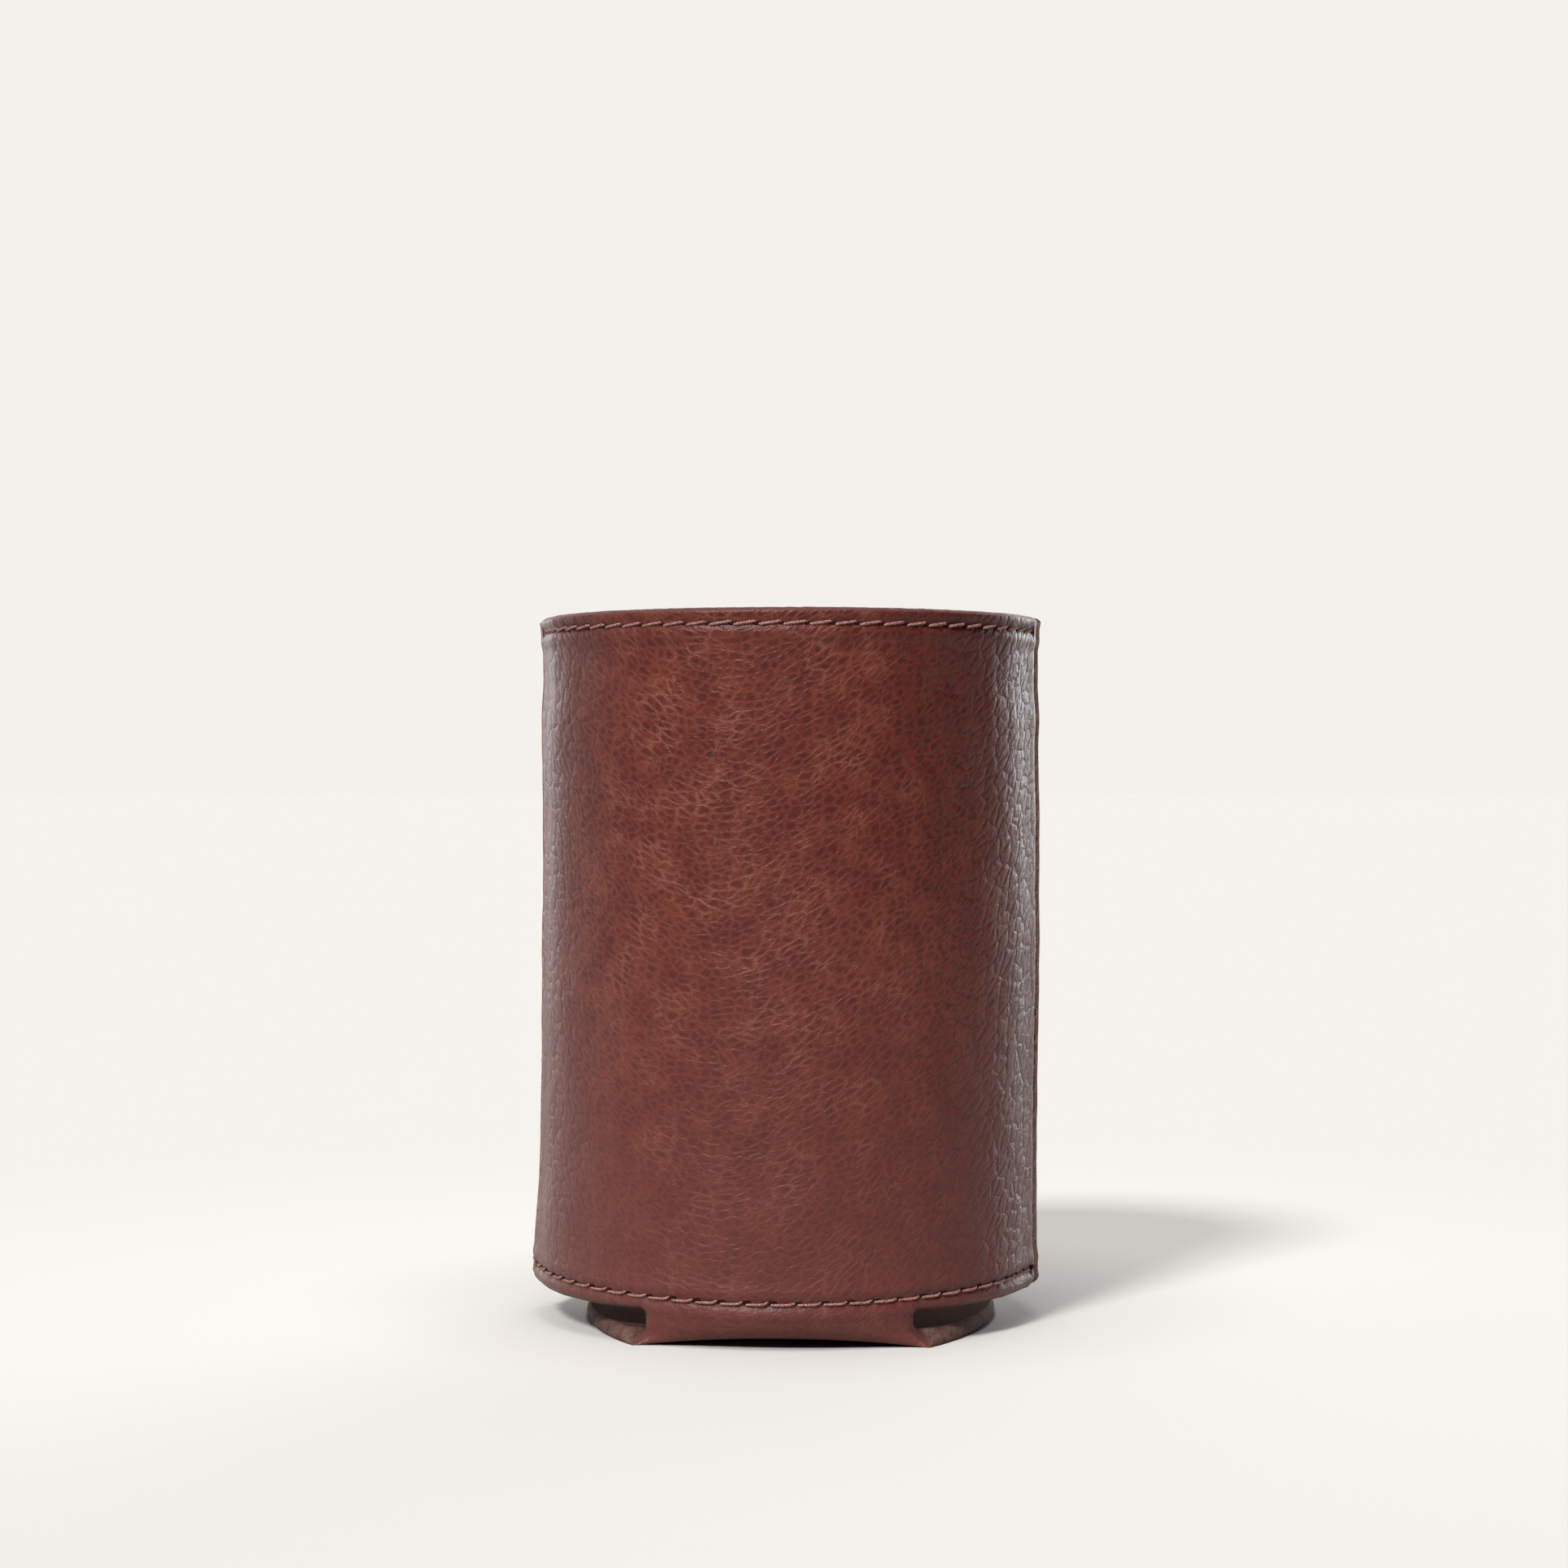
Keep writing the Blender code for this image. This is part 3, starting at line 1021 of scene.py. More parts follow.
@dataclass(frozen=True)
class PebbledLeather:
    """The hide's grain side: reddish brown, pebbled at the sides, finely creased in the middle."""

    main: Colour = (0.084, 0.0120, 0.0082, 1.0)
    warm: Colour = (0.122, 0.0240, 0.0125, 1.0)
    maroon: Colour = (0.040, 0.0052, 0.0050, 1.0)
    # Painted shade for the pebbles' grooves and hairlines.
    crease_shade: Colour = (0.026, 0.0042, 0.0036, 1.0)
    amber: Colour = (0.170, 0.040, 0.022, 1.0)
    worn: Colour = (0.230, 0.090, 0.064, 1.0)
    # Painted light: a paler, greyer tint for light bounced up from the floor onto the lower wall.
    painted_bounce_light: Colour = (0.108, 0.0340, 0.0290, 1.0)
    cells_per_metre: float = 480.0
    cell_sizes: Triple = (1.0, 1.85, 4.4)
    fold_size: float = 1.5
    pebble_stretch: Triple = (0.68, 1.0, 1.0)
    fold_stretch: Triple = (0.46, 1.16, 1.0)
    flow_middle: float = -0.009
    flow_reach: float = 0.016
    pebble_slope: float = 0.52
    crease_slope: float = 0.85
    warps: tuple[Span, ...] = ((190.0, 0.0012), (520.0, 0.00075))
    zone_middle: float = -0.004
    side_zone: Span = (0.015, 0.031)
    wall_zone: Span = (0.0035, 0.0095)
    low_wall: float = 0.15
    taut_zone: Span = (0.0340, 0.0360)
    taut: float = 0.5
    # Painted shade: the upper sides darken towards maroon between these heights.
    upper_shade_zone: Span = (0.050, 0.100)
    bounce_light_zone: Span = (-0.010, 0.085)
    cloud_scale: float = 230.0
    patch_scale: float = 150.0
    spot_scale: float = 430.0
    pore_scale: float = 2900.0
    fibre_scale: float = 5200.0
    groove_width: float = 0.07
    hairline_width: float = 0.06
    hairline_strength: float = 0.3
    fold_width: float = 0.20
    blot_strength: float = 0.80
    bright_strength: float = 0.50
    pore_strength: float = 0.40
    crease_shade_strengths: Span = (0.40, 0.75)
    rub_strength: float = 0.66
    upper_shade_strength: float = 0.40
    bounce_light_strength: float = 0.68
    roughness: Span = (0.33, 0.53)
    bump_depth: float = 0.00026
    pebble_dome: float = 0.36
    grain_dome: float = 0.40
    pebble_heights: Span = (0.07, 0.49)
    grain_heights: Span = (0.14, 0.18)
    fibre_heights: Span = (0.09, 0.19)
    small_height: float = 0.05
    fold_height: float = 0.08
    corner_height: float = 0.20
    gloss: float = 0.22
    corner_x: float = 0.0176
    corner_z: float = 0.0048
    corner_near: Span = (0.0006, 0.0024)
    corner_far: Span = (0.0088, 0.0030)
    corner_first: Span = (-0.10, 0.15)
    corner_last: Span = (1.25, 0.90)
    corner_turns: float = 1.7
    corner_wander: float = 2.6
    corner_scale: float = 320.0

    def flowing(self, tree: ShaderTree, uv: Wire, slope: float) -> Wire:
        """Coordinates whose lines sag across a panel, as the hide's creases do.

        Args:
            tree: The material's tree.
            uv: The panel's flat coordinates.
            slope: How steep the lines get towards the panel's sides.

        Returns:
            The coordinates, slightly warped.
        """
        x, y, _ = tree.split(uv)
        across = tree.math("WRAP", x - self.flow_middle, PANEL_STEP / 2.0, -PANEL_STEP / 2.0)
        across = tree.math("DIVIDE", across, self.flow_reach)
        bend = tree.math("SQRT", across * across + 1.0)
        flow = tree.vector(x, bend * (-slope * self.flow_reach) + y)
        for scale, reach in self.warps:
            warp = tree.noise(uv, scale, 1.0, "Color")
            centred = tree.vector_math("SUBTRACT", {0: warp, 1: (0.5, 0.5, 0.5)})
            short = tree.vector_math("SCALE", {0: centred, "Scale": reach})
            flow = tree.vector_math("ADD", {0: flow, 1: short})
        return flow

    def cell_edges(self, tree: ShaderTree, flow: Wire, finer: float) -> Wire:
        """Distance to the nearest edge of the grain's cells, at one size of cell.

        Args:
            tree: The material's tree.
            flow: The coordinates that the cells lie on.
            finer: How many times finer than the largest cells.

        Returns:
            The distance, in cells.
        """
        kind = {"feature": "DISTANCE_TO_EDGE", "voronoi_dimensions": "2D"}
        inputs = {"Vector": flow, "Scale": self.cells_per_metre * finer}
        return tree.add("ShaderNodeTexVoronoi", inputs, "Distance", **kind)

    def corner_creases(self, tree: ShaderTree) -> Wire:
        """Thin creases that fan out from the slots' upper corners into the necks, where the hide folds.

        Args:
            tree: The material's tree.

        Returns:
            1 in the creases and 0 beside them.
        """
        x, _, z = tree.split(tree.place)
        across = self.corner_x - abs(x)
        down = self.corner_z - z
        turn = tree.math("ARCTAN2", down, across)
        wander = tree.noise(tree.place, self.corner_scale, 3.0) * self.corner_wander
        lines = tree.math("FRACT", turn * self.corner_turns + wander)
        thin = 1.0 - tree.step(abs(lines - 0.5), 0.0, self.hairline_width)
        reach = tree.math("SQRT", across * across + down * down)
        near = tree.step(reach, *self.corner_near) * tree.step(reach, *self.corner_far)
        return thin * near * tree.step(turn, *self.corner_first) * tree.step(turn, *self.corner_last)

    def chart(self, tree: ShaderTree, uv: Wire) -> GrainMaps:
        """Lay out the grain's cells and folds and the sleeve's zones.

        Args:
            tree: The material's tree.
            uv: The panel's flat coordinates.

        Returns:
            The maps.
        """
        x, _, z = tree.split(tree.place)
        pebbles = tree.stretch(self.flowing(tree, uv, self.pebble_slope), self.pebble_stretch)
        creases = tree.stretch(self.flowing(tree, uv, self.crease_slope), self.fold_stretch)
        cells = [self.cell_edges(tree, pebbles, finer) for finer in self.cell_sizes]
        flat = tree.step(self.cell_edges(tree, creases, self.fold_size), 0.0, self.fold_width)
        side = tree.step(abs(x - self.zone_middle), *self.side_zone)
        taut = tree.step(abs(x), *self.taut_zone)
        wall = tree.between(tree.step(z, *self.wall_zone), (self.low_wall, 1.0)) * (1.0 - taut * self.taut)
        fibres = tree.noise(uv, self.fibre_scale, 4.0)
        return GrainMaps(*cells, flat, fibres, side, 1.0 - side, wall, z)

    def dye(self, tree: ShaderTree, uv: Wire, maps: GrainMaps) -> Wire:
        """The colour: cloudy red brown, dark spots, bright lines, grooves darkened with painted shade, worn
        folds, painted shade on the upper sides and painted bounce light towards the bottom.

        Args:
            tree: The material's tree.
            uv: The panel's flat coordinates.
            maps: The cells, folds and zones.

        Returns:
            The colour.
        """
        cloud = tree.step(tree.noise(tree.place, self.cloud_scale, 5.0), 0.36, 0.66)
        pores = tree.noise(uv, self.pore_scale, 4.0)
        spots = tree.step(tree.noise(tree.place, self.spot_scale, 3.0), 0.30, 0.58)
        dotted = tree.between(tree.step(pores, 0.34, 0.60), (0.3, 1.0))
        blot = tree.step(maps.medium, 0.02, 0.34) * spots * dotted
        bright = (1.0 - tree.step(maps.medium, 0.02, 0.30)) * tree.step(pores, 0.62, 0.38)
        # Painted shade: the grooves between the pebbles and the fine hairlines darken at the sides, where
        # shade falls in them.
        groove = 1.0 - tree.step(maps.large, 0.0, self.groove_width)
        thin = (1.0 - tree.step(maps.medium, 0.0, self.hairline_width)) * self.hairline_strength
        dark = tree.math("MAXIMUM", groove, thin) * maps.side
        patch = tree.step(tree.noise(tree.place, self.patch_scale, 3.0), 0.40, 0.66)
        rub = (1.0 - maps.flat) * patch * maps.middle * tree.step(maps.fibres, 0.40, 0.56)
        colour = tree.mix(cloud, self.main, self.warm)
        for share, tint in (
            (blot * self.blot_strength, self.maroon),
            (bright * self.bright_strength, self.amber),
            (tree.step(pores, 0.50, 0.36) * self.pore_strength, self.maroon),
            (dark * tree.between(maps.side, self.crease_shade_strengths), self.crease_shade),
            (rub * self.rub_strength, self.worn),
            # Painted shade on the upper sides, where less light falls.
            (tree.step(maps.height, *self.upper_shade_zone) * maps.side * self.upper_shade_strength, self.maroon),
            # Painted light: paler and greyer towards the bottom, for light bounced from the floor.
            ((1.0 - tree.step(maps.height, *self.bounce_light_zone)) * self.bounce_light_strength, self.painted_bounce_light),
        ):
            colour = tree.mix(share, colour, tint)
        return colour

    def relief(self, tree: ShaderTree, maps: GrainMaps) -> Wire:
        """The bump: domed pebbles at the sides, fine folds in the middle, creases at the slots' corners.

        Args:
            tree: The material's tree.
            maps: The cells, folds and zones.

        Returns:
            The bump's height.
        """
        pebble = tree.dome(maps.large, self.pebble_dome) * tree.between(maps.side, self.pebble_heights)
        grain = tree.dome(maps.medium, self.grain_dome) * tree.between(maps.side, self.grain_heights)
        height = (pebble + grain) * maps.wall + tree.step(maps.small, 0.0, 0.30) * self.small_height
        height = height + maps.fibres * tree.between(maps.side, self.fibre_heights)
        height = height + maps.flat * maps.middle * self.fold_height
        return height - self.corner_creases(tree) * self.corner_height

    def build(self) -> bpy.types.Material:
        """Make the material.

        Returns:
            The material.
        """
        tree = ShaderTree("pebbled_leather")
        uv = tree.add("ShaderNodeUVMap", uv_map="hide")
        maps = self.chart(tree, uv)
        roughness = tree.between(maps.fibres, self.roughness)
        return tree.finish(
            self.dye(tree, uv, maps), roughness, self.gloss, self.relief(tree, maps), self.bump_depth
        )


@dataclass(frozen=True)
class BrownSuede:
    """The hide's flesh side: napped dark brown suede, darkened near the floor with painted shade inside the
    sleeve's bottom.
    """

    dark: Colour = (0.040, 0.0180, 0.0140, 1.0)
    light: Colour = (0.125, 0.064, 0.050, 1.0)
    # Painted shade for the suede near the floor.
    painted_base_shade: Colour = (0.042, 0.0210, 0.0160, 1.0)

    def build(self) -> bpy.types.Material:
        """Make the material.

        Returns:
            The material.
        """
        tree = ShaderTree("brown_suede")
        nap = tree.noise(tree.place, 4600.0, 4.0)
        tone = tree.noise(tree.place, 240.0, 3.0) * 0.7 + nap * 0.5
        colour = tree.mix(tree.step(tone, 0.36, 0.90), self.dark, self.light)
        # Painted shade: the suede below a few millimetres is darkened, for the shade inside the sleeve's
        # bottom.
        worn = 1.0 - tree.step(tree.split(tree.place)[2], 0.003, 0.006)
        return tree.finish(tree.mix(worn * 0.75, colour, self.painted_base_shade), 0.95, 0.10, nap, 0.00014)


@dataclass(frozen=True)
class CutEdge:
    """A cut edge of the leather: fibres between the two faces, raw or dyed."""

    name: str
    dark: Colour
    light: Colour
    gloss: float

    def build(self) -> bpy.types.Material:
        """Make the material.

        Returns:
            The material.
        """
        tree = ShaderTree(self.name)
        fibres = tree.noise(tree.place, 5200.0, 4.0)
        tone = fibres * 0.65 + tree.noise(tree.place, 620.0, 3.0) * 0.35
        colour = tree.mix(tree.step(tone, 0.30, 0.72), self.dark, self.light)
        return tree.finish(colour, 0.9 - self.gloss, self.gloss, fibres, 0.00018)


RAW_EDGE = CutEdge("raw_edge", (0.034, 0.015, 0.011, 1.0), (0.170, 0.092, 0.074, 1.0), 0.10)
# Painted light: a lighter copy of the raw edge, for light from the right on the seam's grazing face.
SEAM_EDGE_PAINTED_LIGHT = CutEdge("seam_edge_painted_light", (0.100, 0.055, 0.042, 1.0), (0.320, 0.205, 0.165, 1.0), 0.20)
DYED_EDGE = CutEdge("dyed_edge", (0.050, 0.010, 0.008, 1.0), (0.105, 0.024, 0.016, 1.0), 0.35)


@dataclass(frozen=True)
class TwistedThread:
    """The sewing thread: greyish mauve brown, twisted, slightly fuzzy."""

    dark: Colour = (0.110, 0.038, 0.032, 1.0)
    light: Colour = (0.420, 0.220, 0.185, 1.0)

    def build(self) -> bpy.types.Material:
        """Make the material.

        Returns:
            The material.
        """
        tree = ShaderTree("twisted_thread")
        fibres = tree.noise(tree.place, 5200.0, 3.0)
        colour = tree.mix(tree.step(fibres, 0.35, 0.65), self.dark, self.light)
        return tree.finish(colour, 0.55, 0.35, fibres, 0.00004)


@dataclass(frozen=True)
class NeedleShade:
    """Painted shade: the dark inside of the needle holes, laid on the leather as small dark pieces."""

    shade: Colour = (0.016, 0.006, 0.005, 1.0)
    rim: Colour = (0.03, 0.01, 0.008, 1.0)

    def build(self) -> bpy.types.Material:
        """Make the material.

        Returns:
            The material.
        """
        tree = ShaderTree("needle_hole_shade")
        fibres = tree.noise(tree.place, 4000.0, 2.0)
        return tree.finish(tree.mix(fibres * 0.5, self.shade, self.rim), 1.0, 0.05, fibres, 0.00004)


class Mark(NamedTuple):
    """A place on the leather, the way its row runs there and the way out of the leather."""

    position: Triple
    along: Triple
    outward: Triple


@dataclass
class RowMarks:
    """Where one side of a row has its stitches and its needle holes."""

    stitches: list[Mark] = field(default_factory=list)
    holes: list[Mark] = field(default_factory=list)


class StitchTree(NodeGraph):
    """The node tree that lays twisted stitches, or the needle holes' painted shade, on marked points."""

    def __init__(self) -> None:
        """Build the tree with its named inputs."""
        self.group = bpy.data.node_groups.new("stitch_row", "GeometryNodeTree")
        super().__init__(self.group)
        self.sockets: dict[str, str] = {}
        self.new_input("Marks", "NodeSocketGeometry")
        for name in ("Length", "Radius", "Arch", "Dive", "Slant", "Sag", "Hook", "Twist", "Lobe"):
            self.new_input(name, "NodeSocketFloat")
        self.new_input("Seed", "NodeSocketInt")
        self.new_input("Finish", "NodeSocketMaterial")
        self.group.interface.new_socket("Stitches", in_out="OUTPUT", socket_type="NodeSocketGeometry")
        source = self.nodes.new("NodeGroupInput")
        self.given = {name: Wire(self, source.outputs[name]) for name in self.sockets}
        self.wire_up()

    def new_input(self, name: str, kind: str) -> None:
        """Add a named input and keep its identifier."""
        socket = self.group.interface.new_socket(name, in_out="INPUT", socket_type=kind)
        self.sockets[name] = socket.identifier

    def geometry(self, kind: str, inputs: dict) -> Wire:
        """Add a geometry node."""
        return self.add("GeometryNode" + kind, inputs)

    def strand(self) -> Wire:
        """One stitch: a lobed section swept along an arch that dives into the leather at both ends.

        Returns:
            The stitch's geometry.
        """
        given = self.given
        half = given["Length"] * 0.5
        ends = {"Start": self.vector(half * -1.0, 0.0, 0.0), "End": self.vector(half, 0.0, 0.0)}
        line = self.geometry("CurvePrimitiveLine", ends)
        path = self.geometry("ResampleCurve", {"Curve": line, "Count": 13})
        along = self.add("GeometryNodeSplineParameter", output="Factor")
        centred = along * 2.0 - 1.0
        away = abs(centred)
        rise = given["Arch"] - away**6.0 * given["Dive"]
        curl = along**9.0 * given["Hook"] + away**4.0 * given["Sag"]
        offset = self.vector(0.0, centred * given["Slant"] + curl, rise)
        bent = self.geometry("SetPosition", {"Geometry": path, "Offset": offset})
        turned = self.geometry("SetCurveTilt", {"Curve": bent, "Tilt": along * given["Twist"]})
        ring = self.geometry("CurvePrimitiveCircle", {"Resolution": 8, "Radius": given["Radius"]})
        odd = self.math("MODULO", self.geometry("InputIndex", {}), 2.0)
        size = {0: self.geometry("InputPosition", {}), "Scale": 1.0 - odd * given["Lobe"]}
        lobed = self.geometry("SetPosition", {"Geometry": ring, "Position": self.vector_math("SCALE", size)})
        swept = self.geometry("CurveToMesh", {"Curve": turned, "Profile Curve": lobed, "Fill Caps": True})
        return self.geometry("SetShadeSmooth", {"Geometry": swept})

    def wire_up(self) -> None:
        """Turn each stitch to its mark and end in plain geometry with its finish."""
        given = self.given
        along, outward = (
            self.add("GeometryNodeInputNamedAttribute", {"Name": name}, data_type="FLOAT_VECTOR")
            for name in ("along", "outward")
        )
        turn = "FunctionNodeAlignRotationToVector"
        upright = self.add(turn, {"Vector": outward}, axis="Z")
        facing = self.add(turn, {"Rotation": upright, "Vector": along}, axis="X", pivot_axis="Z")
        lengths = {2: 0.93, 3: 1.06, "Seed": given["Seed"]}
        size = self.vector(self.add("FunctionNodeRandomValue", lengths, 1, data_type="FLOAT"), 1.0, 1.0)
        spots = {"Points": given["Marks"], "Instance": self.strand(), "Rotation": facing, "Scale": size}
        real = self.geometry("RealizeInstances", {"Geometry": self.geometry("InstanceOnPoints", spots)})
        painted = self.geometry("SetMaterial", {"Geometry": real, "Material": given["Finish"]})
        self.set(self.nodes.new("NodeGroupOutput"), {0: painted})

    def lay(self, name: str, marks: list[Mark], values: dict) -> bpy.types.Object:
        """Lay stitches on marks and return them as a plain mesh.

        Args:
            name: The piece's name.
            marks: Where the stitches go.
            values: The tree's inputs, by name.

        Returns:
            The finished object.
        """
        mesh = bpy.data.meshes.new(name)
        mesh.from_pydata([mark.position for mark in marks], [], [])
        for label in ("along", "outward"):
            attribute = mesh.attributes.new(label, "FLOAT_VECTOR", "POINT")
            vectors = np.array([getattr(mark, label) for mark in marks], np.float32)
            attribute.data.foreach_set("vector", vectors.ravel())
        made = put(name, mesh)
        modifier = made.modifiers.new("stitches", "NODES")
        modifier.node_group = self.group
        for key, value in values.items():
            modifier[self.sockets[key]] = value
        graph = bpy.context.evaluated_depsgraph_get()
        plain = bpy.data.meshes.new_from_object(made.evaluated_get(graph), depsgraph=graph)
        made.modifiers.remove(modifier)
        made.data = plain
        plain.name = name
        return made


@dataclass(frozen=True)
class StitchForm:
    """How the stitches and the needle holes of one kind of row lie."""

    pitch: float
    share: float
    slant: float = 0.0
    sag: float = 0.0
    hook: float = 0.0
    hole_lift: float = 0.0
    hole_shift: float = 0.0


@dataclass
class Stitching:
    """All six threads of the sleeve, outside and inside, and painted shade for the needle holes between
    stitches.
    """

    sizes: SleeveSizes
    thread: bpy.types.Material
    hole_shade: bpy.types.Material
    radius: float = 0.00025
    arch: float = 0.55
    dive: float = 2.2
    twist: float = 14.0
    lobe: float = 0.32
    hole_length: float = 0.00100
    hole_radius: float = 0.00036
    hole_arch: float = -0.00018
    hole_dive: float = 0.00012
    hole_slant: float = 0.00008
    seam_end: float = 0.0016
    seam_pitch: float = 0.0036
    seam_lean: float = 0.55
    seam_shift: float = 0.0006
    seam_sink: float = 0.00018

    def row_mark(self, angle: float, height: float, side: Side) -> Mark:
        """One mark on a horizontal row.

        Args:
            angle: The angle round the sleeve.
            height: The height above the floor.
            side: The face of the leather that it lies on.

        Returns:
            The mark.
        """
        s = self.sizes
        spot, level = np.array([angle]), np.array([height])
        radius = float(s.sewn_radius(spot, level)[0])
        if side is Side.INNER:
            radius = float(s.bare_radius(spot, level)[0]) - s.leather
        x, y = math.cos(angle), math.sin(angle)
        return Mark((radius * x, radius * y, height), (-y, x, 0.0), (side.value * x, side.value * y, 0.0))

    def row_marks(
        self, front: bool, row: Callable[[np.ndarray], np.ndarray], form: StitchForm, side: Side
    ) -> RowMarks:
        """Marks for the stitches and the holes of one row.

        Args:
            front: Whether the row is on the front panel.
            row: The row's height at an angle.
            form: How its stitches lie.
            side: The face of the leather that they lie on.

        Returns:
            The marks.
        """
        first, last = self.sizes.row_span(front)
        count = self.sizes.stitch_count(front, form.pitch)
        step = (last - first) / count
        marks = RowMarks()
        for i in range(count + 1):
            angle = first + step * i
            if i < count:
                middle = angle + step / 2
                marks.stitches.append(self.row_mark(middle, float(row(np.array([middle]))[0]), side))
            height = float(row(np.array([angle]))[0]) + form.hole_lift
            marks.holes.append(self.row_mark(angle + form.hole_shift / self.sizes.half_width, height, side))
        return marks

    def seam_marks(self, right: bool, side: Side) -> RowMarks:
        """Marks for the slanted stitches that close one side seam.

        Args:
            right: Whether it is the right seam.
            side: The face of the leather that they lie on.

        Returns:
            The marks.
        """
        s = self.sizes
        angle, turn = (s.right_seam, 1.0) if right else (s.left_seam, -1.0)
        low, high = s.hem + self.seam_end, s.height - self.seam_end
        count = round((high - low) / self.seam_pitch)
        outer = side is Side.OUTER
        shifted = angle + (turn * self.seam_shift / s.half_width if outer else 0.0)
        x, y = math.cos(shifted), math.sin(shifted)
        rise = math.sqrt(1.0 - self.seam_lean**2)
        along = (-y * turn * self.seam_lean, x * turn * self.seam_lean, rise)
        marks = RowMarks()
        for i in range(count):
            height = low + (high - low) * (i + 0.5) / count
            radius = float(s.bare_radius(np.array([angle]), np.array([height]))[0])
            radius -= self.seam_sink if outer else s.leather
            outward = (x * side.value, y * side.value, 0.0)
            marks.stitches.append(Mark((radius * x, radius * y, height), along, outward))
        return marks

    def build(self) -> list[tuple[bpy.types.Object, str]]:
        """Lay every thread.

        Returns:
            Each piece with the name of the node that it stands for, which is empty for the holes.
        """
        s = self.sizes
        tree = StitchTree()
        top = StitchForm(s.top_pitch, share=0.92, slant=0.00024, hole_lift=-0.00010)
        bottom = StitchForm(
            s.bottom_pitch,
            share=0.95,
            slant=0.00002,
            sag=0.00006,
            hook=0.00044,
            hole_lift=0.00034,
            hole_shift=0.00036,
        )
        seam = StitchForm(self.seam_pitch, share=0.72)
        rows = []
        for front, panel in ((True, "front"), (False, "back")):
            for place, row, form in (("top", s.top_row, top), ("bottom", s.bottom_row, bottom)):
                sides = [self.row_marks(front, row, form, side) for side in Side]
                rows.append((f"{panel}_{place}", form, sides))
        for right, name in ((True, "right_seam"), (False, "left_seam")):
            rows.append((name, seam, [self.seam_marks(right, side) for side in Side]))
        pieces = []
        for seed, (name, form, sides) in enumerate(rows):
            stitches = [mark for marks in sides for mark in marks.stitches]
            piece = tree.lay(f"{name}_stitches", stitches, self.thread_values(form, seed))
            pieces.append((piece, f"{name}_thread"))
        holes = [mark for _, _, sides in rows for marks in sides for mark in marks.holes]
        # Painted shade: small dark pieces at the needle holes.
        pieces.append((tree.lay("needle_hole_shades", holes, self.hole_values(len(rows))), ""))
        return pieces

    def thread_values(self, form: StitchForm, seed: int) -> dict:
        """The tree's inputs for one thread.

        Args:
            form: How its stitches lie.
            seed: The seed of its random lengths.

        Returns:
            The inputs, by name.
        """
        return {
            "Length": form.pitch * form.share,
            "Radius": self.radius,
            "Arch": self.radius * self.arch,
            "Dive": self.radius * self.dive,
            "Slant": form.slant,
            "Sag": form.sag,
            "Hook": form.hook,
            "Twist": self.twist,
            "Lobe": self.lobe,
            "Seed": seed,
            "Finish": self.thread,
        }

    def hole_values(self, seed: int) -> dict:
        """The tree's inputs for the needle holes' painted shade.

        Args:
            seed: The seed of its random lengths.

        Returns:
            The inputs, by name.
        """
        return {
            "Length": self.hole_length,
            "Radius": self.hole_radius,
            "Arch": self.hole_arch,
            "Dive": self.hole_dive,
            "Slant": self.hole_slant,
            "Seed": seed,
            "Finish": self.hole_shade,
        }


@dataclass(frozen=True)
class Glow:
    """Soft light from one part of the surroundings, between two cosines of the angle from its middle."""

    towards: Triple
    low: float
    high: float
    strength: float

    def build(self, graph: NodeGraph, view: Wire) -> Wire:
        """Its strength in the direction of view.

        Args:
            graph: The tree of the surroundings.
            view: The direction.

        Returns:
            The strength.
        """
        inputs = {0: view, 1: Vector(self.towards).normalized()}
        facing = graph.vector_math("DOT_PRODUCT", inputs, "Value")
        return graph.step(facing, self.low, self.high, self.strength)


@dataclass(frozen=True)
class SunLight:
    """A distant soft light: the way it travels, its strength and its angular size in degrees."""

    name: str
    travel: Triple
    strength: float
    softness: float

    def build(self) -> None:
        """Add the light."""
        data = bpy.data.lights.new(self.name, "SUN")
        data.energy = self.strength
        data.angle = math.radians(self.softness)
        put(self.name, data).rotation_euler = Vector(self.travel).to_track_quat("-Z", "Y").to_euler()


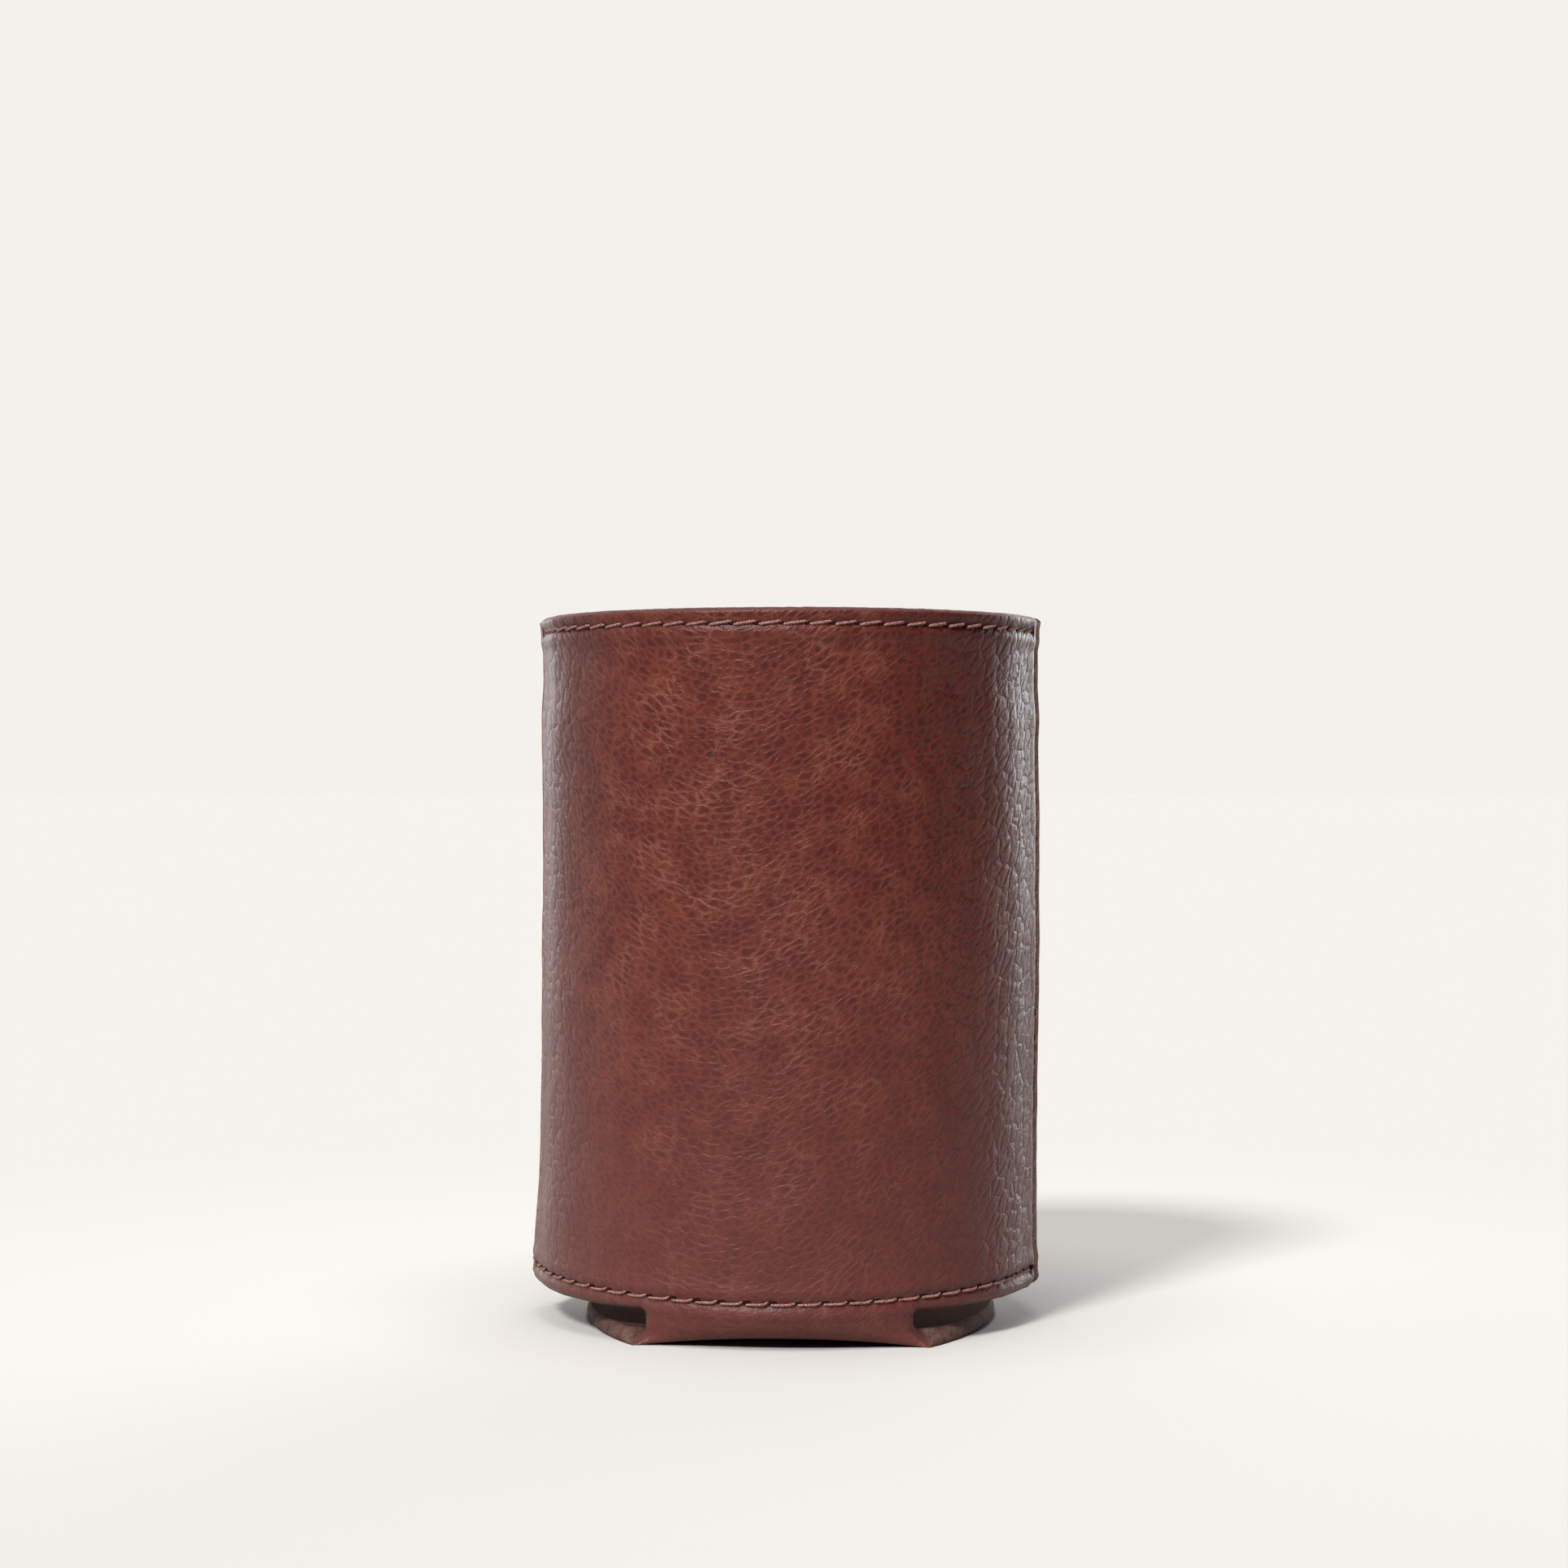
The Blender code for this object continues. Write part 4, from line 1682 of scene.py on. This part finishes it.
@dataclass
class Studio:
    """Pale floor, soft light and the camera at the photo's angle."""

    azimuth: float = math.radians(3.0)
    distance: float = 0.511
    eye_height: float = 0.079
    focal_pixels: float = 4205.0
    axis_pixel: float = 975.0
    floor_reach: float = 30.0
    backdrop: Colour = (0.904, 0.879, 0.840, 1.0)
    # Painted light: the floor is lighter near the sleeve, to cancel its shade there.
    near_floor_painted_light: Colour = (0.470, 0.455, 0.436, 1.0)
    far_floor: Colour = (0.448, 0.4316, 0.4134, 1.0)
    floor_ease: Span = (0.06, 0.26)
    sky: Colour = (0.97, 0.98, 1.0, 1.0)
    glows: tuple[Glow, ...] = (
        Glow((0.0, 0.0, 1.0), -2.0, -1.5, 0.04),
        Glow((0.0, 1.0, 0.10), 0.50, 0.94, 1.50),
        Glow((-1.0, 0.30, 0.20), 0.70, 0.97, 1.00),
        Glow((-0.30, 0.95, 0.05), 0.89, 0.990, 2.60),
        Glow((0.36, 0.93, 0.05), 0.89, 0.990, 7.50),
    )
    suns: tuple[SunLight, ...] = (
        SunLight("key_light", (0.42, 0.90, -0.92), 3.6, 11.0),
        SunLight("top_light", (0.0, 0.15, -1.0), 2.8, 45.0),
    )

    def add_camera(self) -> None:
        """Place the level camera in front, a little to the right."""
        data = bpy.data.cameras.new("camera")
        data.sensor_width = 36.0
        data.lens = self.focal_pixels * data.sensor_width / PHOTO_SIDE
        data.shift_x = -(self.axis_pixel - PHOTO_SIDE / 2) / PHOTO_SIDE
        data.clip_start = 0.01
        camera = put("camera", data)
        x, y = self.distance * math.sin(self.azimuth), -self.distance * math.cos(self.azimuth)
        camera.location = (x, y, self.eye_height)
        camera.rotation_euler = (math.pi / 2, 0.0, self.azimuth)
        bpy.context.scene.camera = camera

    def add_floor(self) -> None:
        """Lay a wide plain floor, a little lighter near the sleeve: painted light against the sleeve's shade
        on it.
        """
        bm = bmesh.new()
        bmesh.ops.create_grid(bm, x_segments=1, y_segments=1, size=self.floor_reach)
        mesh = bpy.data.meshes.new("floor")
        bm.to_mesh(mesh)
        bm.free()
        tree = ShaderTree("pale_floor")
        away = tree.vector_math("LENGTH", {0: tree.place}, "Value")
        # Painted light: lighter within about a quarter metre of the middle, against the sleeve's shade on
        # the floor.
        tint = tree.mix(tree.step(away, *self.floor_ease), self.near_floor_painted_light, self.far_floor)
        tree.set(tree.shader, {"Base Color": tint, "Roughness": 1.0, "Specular IOR Level": 0.0})
        mesh.materials.append(tree.material)
        floor = put("floor", mesh)

    def add_surround(self) -> None:
        """Show a plain backdrop, and light the sleeve from above, behind and the left."""
        world = bpy.data.worlds.new("surround")
        world.use_nodes = True
        graph = NodeGraph(world.node_tree)
        graph.nodes.remove(graph.nodes["Background"])
        view = graph.add("ShaderNodeTexCoord", output="Generated")
        first, *others = (glow.build(graph, view) for glow in self.glows)
        light = graph.add("ShaderNodeBackground", {"Color": self.sky, "Strength": sum(others, first)})
        plain = graph.add("ShaderNodeBackground", {"Color": self.backdrop})
        seen = graph.add("ShaderNodeLightPath", output="Is Camera Ray")
        either = graph.add("ShaderNodeMixShader", {0: seen, 1: light, 2: plain})
        graph.set(graph.nodes["World Output"], {"Surface": either})
        bpy.context.scene.world = world

    def build(self) -> None:
        """Set up the whole studio."""
        self.add_camera()
        self.add_floor()
        self.add_surround()
        for sun in self.suns:
            sun.build()
        bpy.context.scene.view_settings.view_transform = "Standard"


def main() -> None:
    """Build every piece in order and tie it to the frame."""
    logging.basicConfig(level=logging.INFO, format="%(name)s: %(message)s")
    sizes = SleeveSizes(height=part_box("leather_body")[1].z)
    Studio().build()
    looks = (PebbledLeather(), BrownSuede(), RAW_EDGE, DYED_EDGE, SEAM_EDGE_PAINTED_LIGHT)
    finishes = [look.build() for look in looks]
    hide = FoldedHide(sizes).build(finishes)
    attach(hide, "root")
    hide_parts("leather_body")
    LOG.info("folded_hide: %d faces", len(hide.data.polygons))
    stitching = Stitching(sizes, TwistedThread().build(), NeedleShade().build())
    for piece, node in stitching.build():
        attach(piece, "root")
        if node:
            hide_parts(node)
        LOG.info("%s: %d faces", piece.name, len(piece.data.polygons))
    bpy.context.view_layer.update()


if __name__ == "__main__":
    main()
